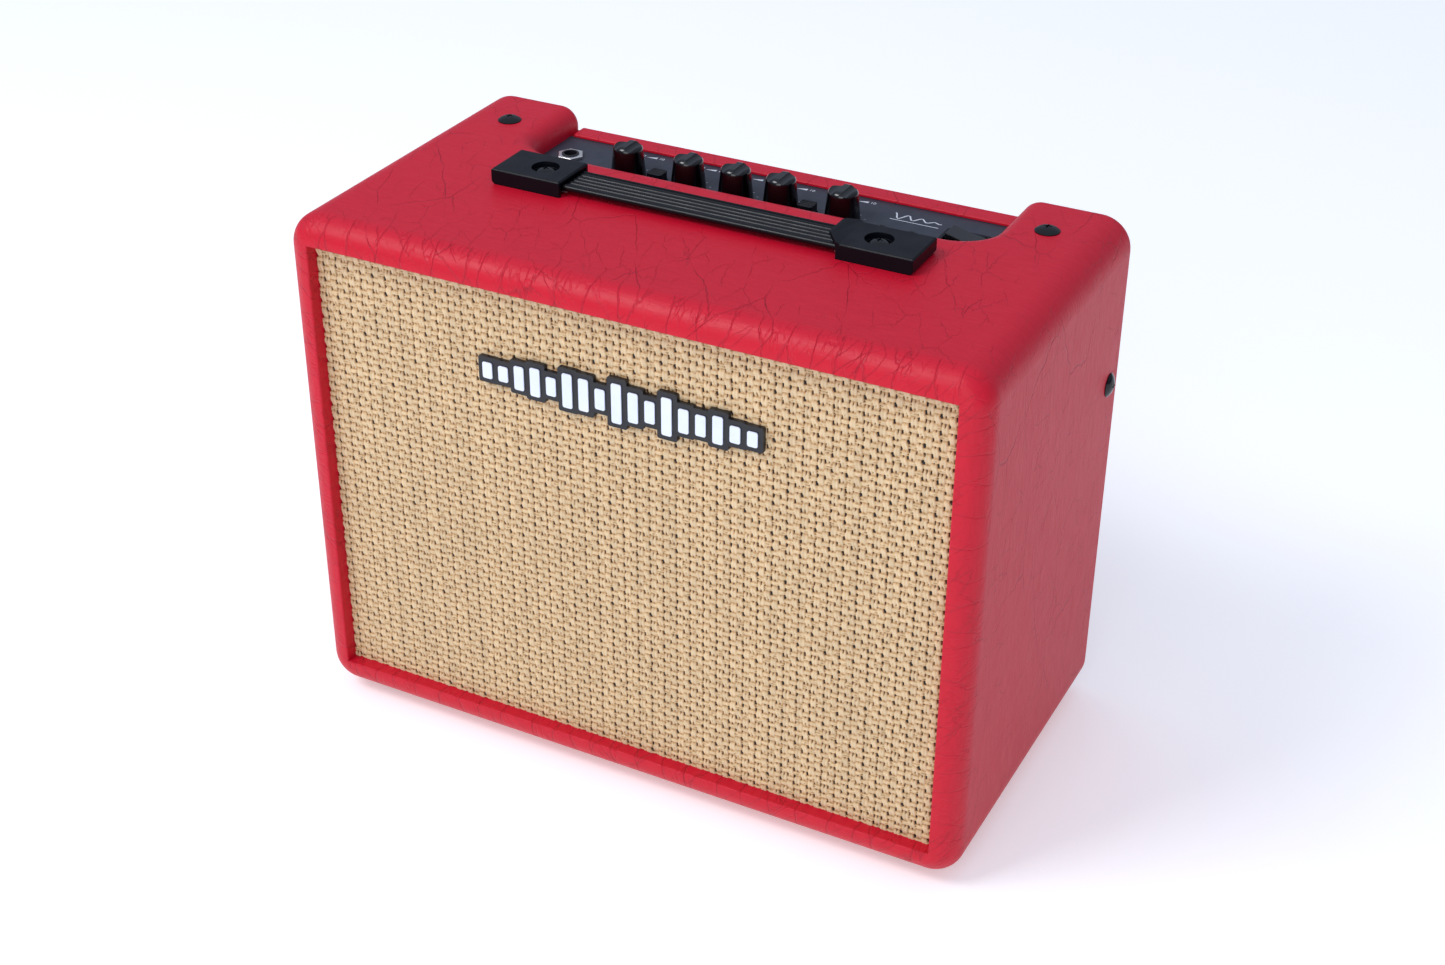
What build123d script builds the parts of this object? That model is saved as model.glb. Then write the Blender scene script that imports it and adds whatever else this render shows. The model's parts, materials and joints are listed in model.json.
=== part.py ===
"""Guitar practice amplifier: two small speakers in a vinyl-covered cabinet with a rear control recess.

X runs to the right, Y to the back and Z up. The origin is on the surface that the amplifier stands
on, under the middle of the cabinet. Lengths are in millimetres.
"""

import os
from math import cos, radians, sin

from build123d import *

os.makedirs("parts", exist_ok=True)

# ---- Cabinet: the driving sizes -------------------------------------------------------------
cab_width = 340.0
cab_depth = 177.0
cab_height = 255.0
foot_height = 5.0
board = 11.0  # side and top boards, and the baffle
base_board = 12.0  # bottom board
skin = 1.0  # vinyl covering
front_radius = 11.8  # rounding of the front edges
side_radius = 15.0  # rounding of the long edges that run front to back
rear_radius = 5.0  # rounding of the rear edges
lip_radius = 0.9  # inner edge of the front lip
cloth_recess = 6.5  # from the front plane back to the grille cloth
cloth_thickness = 1.5
rear_recess = 1.2  # from the rear plane in to the rear panel
rear_board = 8.3

cab_bottom = foot_height
cab_top = cab_bottom + cab_height
cab_mid = cab_bottom + cab_height / 2
half_width = cab_width / 2
front_y = -cab_depth / 2
rear_y = cab_depth / 2
inner_x = half_width - skin - board  # inner faces of the side boards
inner_top = cab_top - skin - board  # underside of the top board
inner_bottom = cab_bottom + skin + base_board
baffle_front = front_y + cloth_recess + cloth_thickness
baffle_back = baffle_front + board
rear_face = rear_y - rear_recess
rear_board_back = rear_face - skin
rear_board_front = rear_board_back - rear_board

# ---- Control recess in the rear of the top board --------------------------------------------
notch_half_width = 118.0
notch_length = 55.0  # from the recess's front wall to the rear plane
notch_corner = 18.0  # plan radius of its front corners
notch_rounding = 9.5  # rounding of its top edges
tab_gap = 1.0  # between the rear panel's raised middle and the recess walls
tab_height = 1.6  # how far that middle stands above the control panel
notch_front = rear_y - notch_length

# ---- Clearances -----------------------------------------------------------------------------
run_gap = 0.05  # radial, a shaft in its bush
hole_gap = 0.2  # radial, a screw or bush in a plain hole
body_gap = 0.3  # between pieces that move past each other
panel_gap = 0.5  # around the rear panel

# ---- Handle ---------------------------------------------------------------------------------
handle_y = -1.3  # middle of the handle
cap_inner_x = 69.0
cap_outer_x = 105.2
cap_width = 26.3
cap_height = 7.6
cap_wall = 1.7
cap_edge = 0.7  # chamfer round the top
cap_foot_chamfer = 1.4  # lower outer corner
cap_screw_x = 83.8
cap_recess_radius = 6.5
cap_recess_depth = 2.8
cap_boss = 3.6  # radius of the post round the screw, under the recess
lip_x = 63.2  # end of the flared lip over the strap, on the right cap
lip_rise = 2.2  # how far that lip stands above the cap
lip_width = 14.0  # at its tip
lip_wall = 1.6
strap_width = 20.0
strap_thickness = 3.3
strap_air = 2.0  # air under the strap
strap_half = 66.0  # from the middle of the handle to each end of the strap
strap_rib_count = 5
strap_rib = 0.5  # depth of the grooves between the ribs
strap_bead = 1.5  # width of the rounded bead along each long edge

# ---- Controls -------------------------------------------------------------------------------
panel_sheet = 1.5
panel_top = inner_top  # the panel lies against the underside of the top board
knob_y = notch_front + 15.0
knob_height = 16.0
knob_gap = 0.5
knob_base_radius = 8.5
knob_top_radius = 6.9
knob_blade = 2.6
knob_scoop = 2.6  # radius of the two finger grooves
knob_scoop_rise = 0.7  # of their middle above the knob's top
knob_shoulder = 3.0
shaft_radius = 3.0
bush_radius = 3.9
pot_nut_across = 10.0
pot_nut_height = 2.0
pot_size = 11.0
pot_height = 8.0
knob_places = {"gain": -68.5, "volume": -36.0, "bass": -11.0, "treble": 12.5, "delay": 44.0}
button_places = {"channel": -53.0, "tap": 26.0}
button_size = 7.6
button_height = 4.6
button_travel = 1.5
button_groove = 0.45  # radius of the grip grooves across its top
button_groove_places = (-1.9, 0.0, 1.9)
jack_x = -104.6
jack_y = notch_front + 21.3
jack_bore = 3.2  # radius
jack_bush_radius = 4.2
jack_nut_across = 12.0
jack_nut_height = 1.6
small_jack_places = (64.0, 79.0)
small_jack_bore = 1.8  # radius
small_jack_bush = 2.9
small_jack_y = knob_y - 2.0
small_jack_width = 9.0
small_jack_depth = 11.0
rocker_x = 102.0
rocker_y = notch_front + 20.2
rocker_length = 18.0
rocker_width = 11.0
rocker_tilt = 12.0  # degrees either side of level
rocker_frame_length = 22.0
rocker_frame_width = 15.0

# ---- Speakers -------------------------------------------------------------------------------
speaker_x = 75.0
speaker_z = 125.0
speaker_hole = 34.0  # radii
speaker_frame = 78.0  # side of the square frame
speaker_screw = 31.5  # from the speaker's middle to its screws, across and up
cone_radius = speaker_hole - 4.5
coil_radius = 10.0
cone_depth = 14.0
cone_wall = 0.8
magnet_radius = 24.0
magnet_length = 14.0
speaker_screw_radius = 1.5

# ---- Fasteners ------------------------------------------------------------------------------
truss_radius = 5.75
truss_height = 2.6
truss_edge = 0.4  # height of the head's straight edge
screw_radius = 2.0
slot_width = 0.8
foot_x = 140.0
foot_y = 62.0
foot_radius = 11.0
foot_screw_depth = 2.6  # of the screw's head inside the foot
foot_screw_length = 12.0


def cabinet_block(inset):
    """Solid block of the cabinet's outer shape moved inwards by inset, with the control recess."""
    top = cab_top - inset
    back = rear_y - inset
    with BuildPart() as block:
        with BuildSketch(Plane.XZ.offset(-front_y - inset)):
            with Locations((0, cab_mid)):
                RectangleRounded(
                    cab_width - 2 * inset, cab_height - 2 * inset, side_radius - inset
                )
        extrude(amount=-(cab_depth - 2 * inset))
        fillet(block.faces().sort_by(Axis.Y)[0].edges(), front_radius - inset)
        with BuildSketch(Plane.XY.offset(inner_top)):
            with Locations((0, notch_front - inset)):
                RectangleRounded(
                    2 * (notch_half_width + inset),
                    4 * notch_length,
                    notch_corner + inset,
                    align=(Align.CENTER, Align.MIN),
                )
        extrude(amount=2 * board, mode=Mode.SUBTRACT)
        rim = [
            edge
            for edge in block.edges().group_by(Axis.Z)[-1]
            if abs(edge.center().X) < notch_half_width + 2 * inset + 0.1
            and notch_front - 2 * inset - 0.1 < edge.center().Y < back - 0.1
        ]
        fillet(rim, notch_rounding - inset)
        rear_edges = [
            edge
            for edge in block.faces().sort_by(Axis.Y)[-1].edges()
            if not (
                abs(edge.center().X) < notch_half_width + inset + 0.1
                and abs(edge.center().Z - inner_top) < top - inner_top
            )
        ]
        fillet(rear_edges, rear_radius - inset)
    return block.part


def truss_screw(length, head=truss_radius, height=truss_height, shank=screw_radius):
    """Domed cross-head screw with the underside of its head at the origin and its shank along -Z."""
    dome = height - truss_edge
    with BuildPart() as screw:
        with BuildSketch(Plane.XZ):
            with BuildLine():
                Line((0, 0), (head, 0))
                Line((head, 0), (head, truss_edge))
                RadiusArc((head, truss_edge), (0, height), -(head**2 + dome**2) / (2 * dome))
                Line((0, height), (0, 0))
            make_face()
        revolve(axis=Axis.Z)
        Cylinder(shank, length, align=(Align.CENTER, Align.CENTER, Align.MAX))
        with Locations((0, 0, height)):
            Box(0.62 * head, slot_width, height, mode=Mode.SUBTRACT)
            Box(slot_width, 0.62 * head, height, mode=Mode.SUBTRACT)
    return screw.part


outer_block = cabinet_block(0)
core_block = cabinet_block(skin)

# ---- Cabinet boards -------------------------------------------------------------------------
top_screw_x = 139.7
top_screw_y = notch_front + 22.4
side_screw_y = rear_board_front - 5.4
side_screw_z = cab_top - 77.5
foot_places = [(x, y) for x in (-foot_x, foot_x) for y in (-foot_y, foot_y)]
speaker_centres = (-speaker_x, speaker_x)
speaker_screw_places = [
    (x + across, speaker_z + up)
    for x in speaker_centres
    for across in (-speaker_screw, speaker_screw)
    for up in (-speaker_screw, speaker_screw)
]

with BuildPart() as top_board:
    add(core_block)
    with Locations((0, 0, inner_top)):
        Box(
            2 * inner_x,
            2 * cab_depth,
            4 * board,
            align=(Align.CENTER, Align.CENTER, Align.MIN),
            mode=Mode.INTERSECT,
        )
    with Locations(
        *[(side * top_screw_x, top_screw_y, inner_top) for side in (-1, 1)],
        *[(side * cap_screw_x, handle_y, inner_top) for side in (-1, 1)],
    ):
        Cylinder(screw_radius + hole_gap, 4 * board, mode=Mode.SUBTRACT)
top_board.part.label = "top_board"
export_step(top_board.part, "parts/top_board.step")

with BuildPart() as bottom_board:
    add(core_block)
    with Locations((0, 0, inner_bottom)):
        Box(
            2 * inner_x,
            2 * cab_depth,
            4 * base_board,
            align=(Align.CENTER, Align.CENTER, Align.MAX),
            mode=Mode.INTERSECT,
        )
    with Locations(*[(x, y, cab_bottom) for x, y in foot_places]):
        Cylinder(screw_radius, 4 * base_board, mode=Mode.SUBTRACT)
bottom_board.part.label = "bottom_board"
export_step(bottom_board.part, "parts/bottom_board.step")

for name, side in (("left_side", -1), ("right_side", 1)):
    with BuildPart() as side_board:
        add(core_block)
        with Locations((side * (inner_x + board), 0, cab_mid)):
            Box(2 * board, 2 * cab_depth, 2 * cab_height, mode=Mode.INTERSECT)
        with Locations((side * inner_x, side_screw_y, side_screw_z)):
            Cylinder(
                screw_radius + hole_gap, 4 * board, rotation=(0, 90, 0), mode=Mode.SUBTRACT
            )
    side_board.part.label = name
    export_step(side_board.part, f"parts/{name}.step")

with BuildPart() as baffle:
    with BuildSketch(Plane.XZ.offset(-baffle_front)):
        with Locations((0, (inner_top + inner_bottom) / 2)):
            Rectangle(2 * inner_x, inner_top - inner_bottom)
        with Locations(*[(x, speaker_z) for x in speaker_centres]):
            Circle(speaker_hole, mode=Mode.SUBTRACT)
        with Locations(*speaker_screw_places):
            Circle(speaker_screw_radius, mode=Mode.SUBTRACT)
    extrude(amount=-board)
baffle.part.label = "baffle"
export_step(baffle.part, "parts/baffle.step")

# Corner battens: two behind the baffle, and two that take the rear and side screws.
batten = 12.0
front_batten_top = inner_top - 4.0
rear_batten_top = inner_top - 42.0
rear_screw_low = inner_bottom + 14.0
rear_screw_high = rear_batten_top - 10.0
rear_screw_heights = (rear_screw_low, (rear_screw_low + rear_screw_high) / 2, rear_screw_high)
rear_screw_places = [
    (side * (inner_x - batten / 2), rear_face, height)
    for side in (-1, 1)
    for height in rear_screw_heights
]

with BuildPart() as battens:
    for side in (-1, 1):
        with Locations((side * (inner_x - batten / 2), baffle_back, inner_bottom)):
            Box(
                batten,
                batten,
                front_batten_top - inner_bottom,
                align=(Align.CENTER, Align.MIN, Align.MIN),
            )
        with Locations((side * (inner_x - batten / 2), rear_board_front, inner_bottom)):
            Box(
                batten,
                batten,
                rear_batten_top - inner_bottom,
                align=(Align.CENTER, Align.MAX, Align.MIN),
            )
    with Locations(*[(side * inner_x, side_screw_y, side_screw_z) for side in (-1, 1)]):
        Cylinder(screw_radius, 4 * batten, rotation=(0, 90, 0), mode=Mode.SUBTRACT)
    with Locations(*rear_screw_places):
        Cylinder(screw_radius, 4 * batten, rotation=(90, 0, 0), mode=Mode.SUBTRACT)
battens.part.label = "battens"
export_step(battens.part, "parts/battens.step")

# ---- Vinyl covering, wrapped over the boards and back into the front opening ----------------
with BuildPart() as cabinet_covering:
    add(outer_block)
    add(core_block, mode=Mode.SUBTRACT)
    with BuildSketch(Plane.XZ.offset(-front_y)):
        with Locations((0, (inner_top + inner_bottom) / 2)):
            Rectangle(2 * inner_x, inner_top - inner_bottom)
    extrude(amount=-(baffle_front - front_y))
    with BuildSketch(Plane.XZ.offset(-front_y)):
        with Locations((0, (inner_top + inner_bottom) / 2)):
            Rectangle(2 * (inner_x - skin), inner_top - inner_bottom - 2 * skin)
    extrude(amount=-2 * board, mode=Mode.SUBTRACT)
    with BuildSketch(Plane.XZ.offset(-rear_y)):
        with Locations((0, (inner_top + inner_bottom) / 2)):
            Rectangle(2 * inner_x, inner_top - inner_bottom)
    extrude(amount=rear_radius, mode=Mode.SUBTRACT)
    lip = [
        edge
        for edge in cabinet_covering.faces().sort_by(Axis.Y)[0].edges()
        if abs(edge.center().X) < inner_x - skin + 0.1
        and abs(edge.center().Z - (inner_top + inner_bottom) / 2)
        < (inner_top - inner_bottom) / 2 - skin + 0.1
    ]
    fillet(lip, lip_radius)
    with Locations(
        *[(side * top_screw_x, top_screw_y, cab_top) for side in (-1, 1)],
        *[(side * cap_screw_x, handle_y, cab_top) for side in (-1, 1)],
    ):
        Cylinder(screw_radius + hole_gap, 4 * skin, mode=Mode.SUBTRACT)
    with Locations(*[(side * half_width, side_screw_y, side_screw_z) for side in (-1, 1)]):
        Cylinder(screw_radius + hole_gap, 4 * skin, rotation=(0, 90, 0), mode=Mode.SUBTRACT)
    with Locations(*[(x, y, cab_bottom) for x, y in foot_places]):
        Cylinder(screw_radius + hole_gap, 4 * skin, mode=Mode.SUBTRACT)
cabinet_covering.part.label = "cabinet_covering"
export_step(cabinet_covering.part, "parts/cabinet_covering.step")

# ---- Grille cloth and the plate on it -------------------------------------------------------
with BuildPart() as grille_cloth:
    with Locations((0, baffle_front, (inner_top + inner_bottom) / 2)):
        Box(
            2 * (inner_x - skin),
            cloth_thickness,
            inner_top - inner_bottom - 2 * skin,
            align=(Align.CENTER, Align.MAX, Align.CENTER),
        )
grille_cloth.part.label = "grille_cloth"
export_step(grille_cloth.part, "parts/grille_cloth.step")

badge_height = 25.0
badge_thickness = 2.4
badge_z = inner_top - 42.5
badge_relief = 0.7
badge_margin = 2.4  # of plate round each bar
bar_count = 17
bar_pitch = 8.2
bar_width = 5.0
bar_corner = 1.0
bar_low = 6.5
badge_front = front_y + cloth_recess - badge_thickness


def badge_outline(margin):
    """Row of upright bars that swell towards the middle like a plucked note, grown by margin."""
    with BuildSketch(Plane.XZ.offset(-badge_front)) as outline:
        for index in range(bar_count):
            place = index - (bar_count - 1) / 2
            envelope = 1 - (abs(place) / (bar_count / 2)) ** 2
            swing = 0.62 + 0.38 * sin(2.2 * place + 1.0)
            tall = bar_low + (badge_height - 2 * badge_margin - bar_low) * envelope * swing
            with Locations((place * bar_pitch, badge_z)):
                RectangleRounded(bar_width + 2 * margin, tall + 2 * margin, bar_corner)
    return outline.sketch


with BuildPart() as badge_plate:
    extrude(badge_outline(badge_margin), amount=-badge_thickness)
badge_plate.part.label = "badge_plate"
export_step(badge_plate.part, "parts/badge_plate.step")

with BuildPart() as badge_bars:
    extrude(badge_outline(0), amount=badge_relief)
badge_bars.part.label = "badge_bars"
export_step(badge_bars.part, "parts/badge_bars.step")

# ---- Rear panel -----------------------------------------------------------------------------
tab_top = panel_top + tab_height
tab_half_width = notch_half_width - tab_gap
inlet_x = -110.0
inlet_z = 62.0
inlet_radius = 6.0
inlet_bore = 2.9
inlet_pin = 1.0
inlet_depth = 9.5  # of its bore below the rear panel's face
inlet_flange = 1.2


def rear_outline(border, y):
    """Rear panel's outline moved inwards by border: a sheet with a raised middle at its top."""
    low = inner_bottom + panel_gap + border
    high = inner_top - panel_gap - border
    half = inner_x - panel_gap - border
    tab = tab_half_width - border
    with BuildSketch(Plane.XZ.offset(-y)) as outline:
        with Locations((0, low)):
            Rectangle(2 * half, high - low, align=(Align.CENTER, Align.MIN))
            Rectangle(2 * tab, tab_top - border - low, align=(Align.CENTER, Align.MIN))
        fillet(outline.vertices().group_by(Axis.Y)[-1], tab_height - border)
    return outline.sketch


def rear_holes():
    """Rods that cut the rear panel's screw and inlet holes."""
    with BuildPart() as rods:
        with Locations(*rear_screw_places):
            Cylinder(screw_radius + hole_gap, 4 * board, rotation=(90, 0, 0))
        with Locations((inlet_x, rear_face, inlet_z)):
            Cylinder(inlet_radius, 4 * board, rotation=(90, 0, 0))
    return rods.part


with BuildPart() as rear_panel:
    extrude(rear_outline(skin, rear_board_front), amount=-rear_board)
    add(rear_holes(), mode=Mode.SUBTRACT)
rear_panel.part.label = "rear_panel"
export_step(rear_panel.part, "parts/rear_panel.step")

# The rear panel's covering wraps its outer face, its edges and the front of its raised middle.
with BuildPart() as rear_covering:
    extrude(rear_outline(0, rear_board_front), amount=-(rear_board + skin))
    with Locations((0, rear_board_front, tab_top)):
        Box(
            2 * (tab_half_width - tab_height),
            skin,
            tab_height - hole_gap,
            align=(Align.CENTER, Align.MAX, Align.MAX),
        )
    rail = [
        edge
        for edge in rear_covering.edges()
        if edge.center().Z > tab_top - 0.1 and abs(edge.center().X) < tab_half_width - tab_height - 0.1
    ]
    fillet(rail, skin * 0.8)
    extrude(rear_outline(skin, rear_board_front), amount=-rear_board, mode=Mode.SUBTRACT)
    add(rear_holes(), mode=Mode.SUBTRACT)
rear_covering.part.label = "rear_covering"
export_step(rear_covering.part, "parts/rear_covering.step")

# ---- Screws in the cabinet ------------------------------------------------------------------
truss = truss_screw(16.0)
rear_truss = truss_screw(15.0, head=4.6, height=1.2)

with BuildPart() as side_screws:
    for side in (-1, 1):
        with Locations(
            Location((side * half_width, side_screw_y, side_screw_z), (0, side * 90, 0))
        ):
            add(truss)
side_screws.part.label = "side_screws"
export_step(side_screws.part, "parts/side_screws.step")

with BuildPart() as rear_screws:
    with Locations(*[Location(place, (-90, 0, 0)) for place in rear_screw_places]):
        add(rear_truss)
rear_screws.part.label = "rear_screws"
export_step(rear_screws.part, "parts/rear_screws.step")

with BuildPart() as chassis_screws:
    with Locations(*[(side * top_screw_x, top_screw_y, cab_top) for side in (-1, 1)]):
        add(truss)
chassis_screws.part.label = "chassis_screws"
export_step(chassis_screws.part, "parts/chassis_screws.step")

# ---- Control chassis: a folded sheet whose top face is the control panel --------------------
chassis_half_width = 150.0
chassis_drop = 38.0
chassis_front = notch_front - 15.0
chassis_back = rear_board_front - body_gap
board_z = panel_top - panel_sheet - pot_height - 6.5  # top of the circuit board
panel_bottom = panel_top - panel_sheet
jack_hole = jack_bush_radius + hole_gap
rocker_hole_length = rocker_frame_length - 3.0
rocker_hole_width = rocker_frame_width - 3.0

with BuildPart() as control_chassis:
    with BuildSketch(Plane.YZ.offset(-chassis_half_width)):
        with BuildLine():
            Polyline(
                (chassis_front, panel_top - chassis_drop),
                (chassis_front, panel_top),
                (chassis_back, panel_top),
                (chassis_back, panel_top - chassis_drop),
                (chassis_back - panel_sheet, panel_top - chassis_drop),
                (chassis_back - panel_sheet, panel_bottom),
                (chassis_front + panel_sheet, panel_bottom),
                (chassis_front + panel_sheet, panel_top - chassis_drop),
                close=True,
            )
        make_face()
    extrude(amount=2 * chassis_half_width)
    with Locations(*[(x, knob_y, panel_top) for x in knob_places.values()]):
        Cylinder(bush_radius + hole_gap, 4 * panel_sheet, mode=Mode.SUBTRACT)
    with Locations(*[(x, knob_y, panel_top) for x in button_places.values()]):
        Box(
            button_size + 2 * body_gap,
            button_size + 2 * body_gap,
            4 * panel_sheet,
            mode=Mode.SUBTRACT,
        )
    with Locations((jack_x, jack_y, panel_top)):
        Cylinder(jack_hole, 4 * panel_sheet, mode=Mode.SUBTRACT)
    with Locations(*[(x, small_jack_y, panel_top) for x in small_jack_places]):
        Cylinder(small_jack_bush + hole_gap, 4 * panel_sheet, mode=Mode.SUBTRACT)
    with Locations((rocker_x, rocker_y, panel_top)):
        Box(rocker_hole_length, rocker_hole_width, 4 * panel_sheet, mode=Mode.SUBTRACT)
    with Locations(*[(side * top_screw_x, top_screw_y, panel_top) for side in (-1, 1)]):
        Cylinder(screw_radius + hole_gap, 4 * panel_sheet, mode=Mode.SUBTRACT)
control_chassis.part.label = "control_chassis"
export_step(control_chassis.part, "parts/control_chassis.step")

# ---- Circuit board, its standoffs and what it carries ---------------------------------------
board_sheet = 1.6
board_left = -92.0
board_right = 88.0
board_front = chassis_front + 4.0
board_back = chassis_back - 5.0
standoff_radius = 3.0
standoff_places = [
    (x, y) for x in (board_left + 5.0, board_right - 5.0) for y in (board_front + 5, board_back - 5)
]

with BuildPart() as circuit_board:
    with BuildSketch(Plane.XY.offset(board_z)):
        with Locations(((board_left + board_right) / 2, (board_front + board_back) / 2)):
            Rectangle(board_right - board_left, board_back - board_front)
    extrude(amount=-board_sheet)
circuit_board.part.label = "circuit_board"
export_step(circuit_board.part, "parts/circuit_board.step")

with BuildPart() as board_standoffs:
    with Locations(*[(x, y, board_z) for x, y in standoff_places]):
        Cylinder(
            standoff_radius, panel_bottom - board_z, align=(Align.CENTER, Align.CENTER, Align.MIN)
        )
board_standoffs.part.label = "board_standoffs"
export_step(board_standoffs.part, "parts/board_standoffs.step")

chip_places = (-70.0, -20.0, 35.0)
chip_length = 13.0
chip_width = 10.0
chip_height = 3.0
capacitor_places = (-45.0, 8.0, 62.0)
capacitor_radius = 4.0
capacitor_height = 10.0
component_y = board_front + 7.0
with BuildPart() as board_components:
    with Locations(*[(x, component_y, board_z) for x in chip_places]):
        Box(chip_length, chip_width, chip_height, align=(Align.CENTER, Align.CENTER, Align.MIN))
    with Locations(*[(x, component_y, board_z) for x in capacitor_places]):
        Cylinder(
            capacitor_radius, capacitor_height, align=(Align.CENTER, Align.CENTER, Align.MIN)
        )
board_components.part.label = "board_components"
export_step(board_components.part, "parts/board_components.step")

# Potentiometer bodies with the threaded bushes that come up through the panel.
bush_top = panel_top + pot_nut_height + 0.6
shaft_foot = board_z + 2.0
with BuildPart() as potentiometers:
    for x in knob_places.values():
        with Locations((x, knob_y, board_z)):
            Box(
                pot_size,
                pot_size,
                panel_bottom - board_z,
                align=(Align.CENTER, Align.CENTER, Align.MIN),
            )
            Cylinder(bush_radius, bush_top - board_z, align=(Align.CENTER, Align.CENTER, Align.MIN))
        with Locations((x, knob_y, shaft_foot)):
            Cylinder(
                shaft_radius + run_gap,
                bush_top,
                align=(Align.CENTER, Align.CENTER, Align.MIN),
                mode=Mode.SUBTRACT,
            )
potentiometers.part.label = "potentiometers"
export_step(potentiometers.part, "parts/potentiometers.step")

with BuildPart() as pot_nuts:
    for x in knob_places.values():
        with BuildSketch(Plane.XY.offset(panel_top)):
            with Locations((x, knob_y)):
                RegularPolygon(pot_nut_across / 2, 6, major_radius=False)
                Circle(bush_radius, mode=Mode.SUBTRACT)
        extrude(amount=pot_nut_height)
pot_nuts.part.label = "pot_nuts"
export_step(pot_nuts.part, "parts/pot_nuts.step")

# ---- Knobs and their shafts -----------------------------------------------------------------
knob_bottom = panel_top + knob_gap
knob_top = panel_top + knob_height
shaft_top = knob_top - 3.0
nut_room = pot_nut_across / 2 / 0.866 + body_gap


def control_knob(x):
    """Round tapering knob with two finger grooves across its top and a grip blade between them."""
    with BuildPart() as knob:
        with BuildSketch(Plane.XY.offset(knob_bottom)):
            with Locations((x, knob_y)):
                Circle(knob_base_radius)
        with BuildSketch(Plane.XY.offset(knob_top)):
            with Locations((x, knob_y)):
                Circle(knob_top_radius)
        loft()
        fillet(knob.faces().sort_by(Axis.Z)[-1].edges(), knob_shoulder)
        for side in (-1, 1):
            scoop_x = x + side * (knob_blade / 2 + knob_scoop)
            with Locations((scoop_x, knob_y, knob_top + knob_scoop_rise)):
                Cylinder(
                    knob_scoop, 4 * knob_base_radius, rotation=(90, 0, 0), mode=Mode.SUBTRACT
                )
        with Locations((x, knob_y, knob_bottom)):
            Cylinder(
                nut_room,
                bush_top + body_gap - knob_bottom,
                align=(Align.CENTER, Align.CENTER, Align.MIN),
                mode=Mode.SUBTRACT,
            )
            Cylinder(
                shaft_radius,
                shaft_top - knob_bottom,
                align=(Align.CENTER, Align.CENTER, Align.MIN),
                mode=Mode.SUBTRACT,
            )
    return knob.part


for name, x in knob_places.items():
    with BuildPart() as knob:
        add(control_knob(x))
    knob.part.label = f"{name}_knob"
    export_step(knob.part, f"parts/{name}_knob.step")

    with BuildPart() as shaft:
        with Locations((x, knob_y, shaft_foot + body_gap)):
            Cylinder(
                shaft_radius,
                shaft_top - shaft_foot - body_gap,
                align=(Align.CENTER, Align.CENTER, Align.MIN),
            )
    shaft.part.label = f"{name}_shaft"
    export_step(shaft.part, f"parts/{name}_shaft.step")

# ---- Push buttons, each over its switch -----------------------------------------------------
switch_top = panel_bottom - 1.5
for name, x in button_places.items():
    with BuildPart() as button:
        with BuildSketch(Plane.XY.offset(switch_top + button_travel + body_gap)):
            with Locations((x, knob_y)):
                RectangleRounded(button_size, button_size, 1.0)
        extrude(amount=panel_top + button_height - switch_top - button_travel - body_gap)
        with Locations(
            *[(x, knob_y + step, panel_top + button_height) for step in button_groove_places]
        ):
            Cylinder(button_groove, 2 * button_size, rotation=(0, 90, 0), mode=Mode.SUBTRACT)
    button.part.label = f"{name}_button"
    export_step(button.part, f"parts/{name}_button.step")

with BuildPart() as button_switches:
    with Locations(*[(x, knob_y, board_z) for x in button_places.values()]):
        Box(
            button_size + 2.0,
            button_size + 2.0,
            switch_top - board_z,
            align=(Align.CENTER, Align.CENTER, Align.MIN),
        )
button_switches.part.label = "button_switches"
export_step(button_switches.part, "parts/button_switches.step")

# ---- Power rocker in its frame --------------------------------------------------------------
rocker_pivot_z = panel_top - 1.0
rocker_rise = 3.4  # from the pivot up to the rocker's top face when level
rocker_frame_height = 1.4
rocker_body_depth = 16.0
rocker_well = rocker_length / 2 * sin(radians(rocker_tilt)) + rocker_rise + body_gap

with BuildPart() as rocker_frame:
    with BuildSketch(Plane.XY.offset(panel_top)):
        with Locations((rocker_x, rocker_y)):
            RectangleRounded(rocker_frame_length, rocker_frame_width, 1.2)
    extrude(amount=rocker_frame_height)
    chamfer(rocker_frame.faces().sort_by(Axis.Z)[-1].edges(), 0.4)
    with BuildSketch(Plane.XY.offset(panel_top)):
        with Locations((rocker_x, rocker_y)):
            Rectangle(rocker_hole_length - 2 * hole_gap, rocker_hole_width - 2 * hole_gap)
    extrude(amount=-rocker_body_depth)
    with BuildSketch(Plane.XY.offset(panel_top + rocker_frame_height)):
        with Locations((rocker_x, rocker_y)):
            Rectangle(rocker_length, rocker_width)
    extrude(amount=-(rocker_frame_height + rocker_well), mode=Mode.SUBTRACT)
rocker_frame.part.label = "rocker_frame"
export_step(rocker_frame.part, "parts/rocker_frame.step")

# The rocker stands tipped, with its left end up. Its two faces meet in a shallow valley.
tilt = radians(rocker_tilt)
rocker_plane = Plane(
    origin=(rocker_x, rocker_y + rocker_width / 2 - body_gap, rocker_pivot_z),
    x_dir=(cos(tilt), 0, -sin(tilt)),
    z_dir=(0, -1, 0),
)
rocker_half = rocker_length / 2 - body_gap - 0.4
rocker_skirt = 0.4 * rocker_rise
valley = 0.5
with BuildPart() as power_rocker:
    with BuildSketch(rocker_plane):
        with BuildLine():
            Polyline(
                (-rocker_half, -rocker_skirt),
                (-rocker_half, rocker_rise + valley),
                (0, rocker_rise),
                (rocker_half, rocker_rise + valley),
                (rocker_half, -rocker_skirt),
                (0, -rocker_rise),
                close=True,
            )
        make_face()
    extrude(amount=rocker_width - 2 * body_gap)
power_rocker.part.label = "power_rocker"
export_step(power_rocker.part, "parts/power_rocker.step")

# ---- Jacks ----------------------------------------------------------------------------------
jack_body_depth = 26.0
jack_body_width = 15.0
bush_above = 0.4

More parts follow.
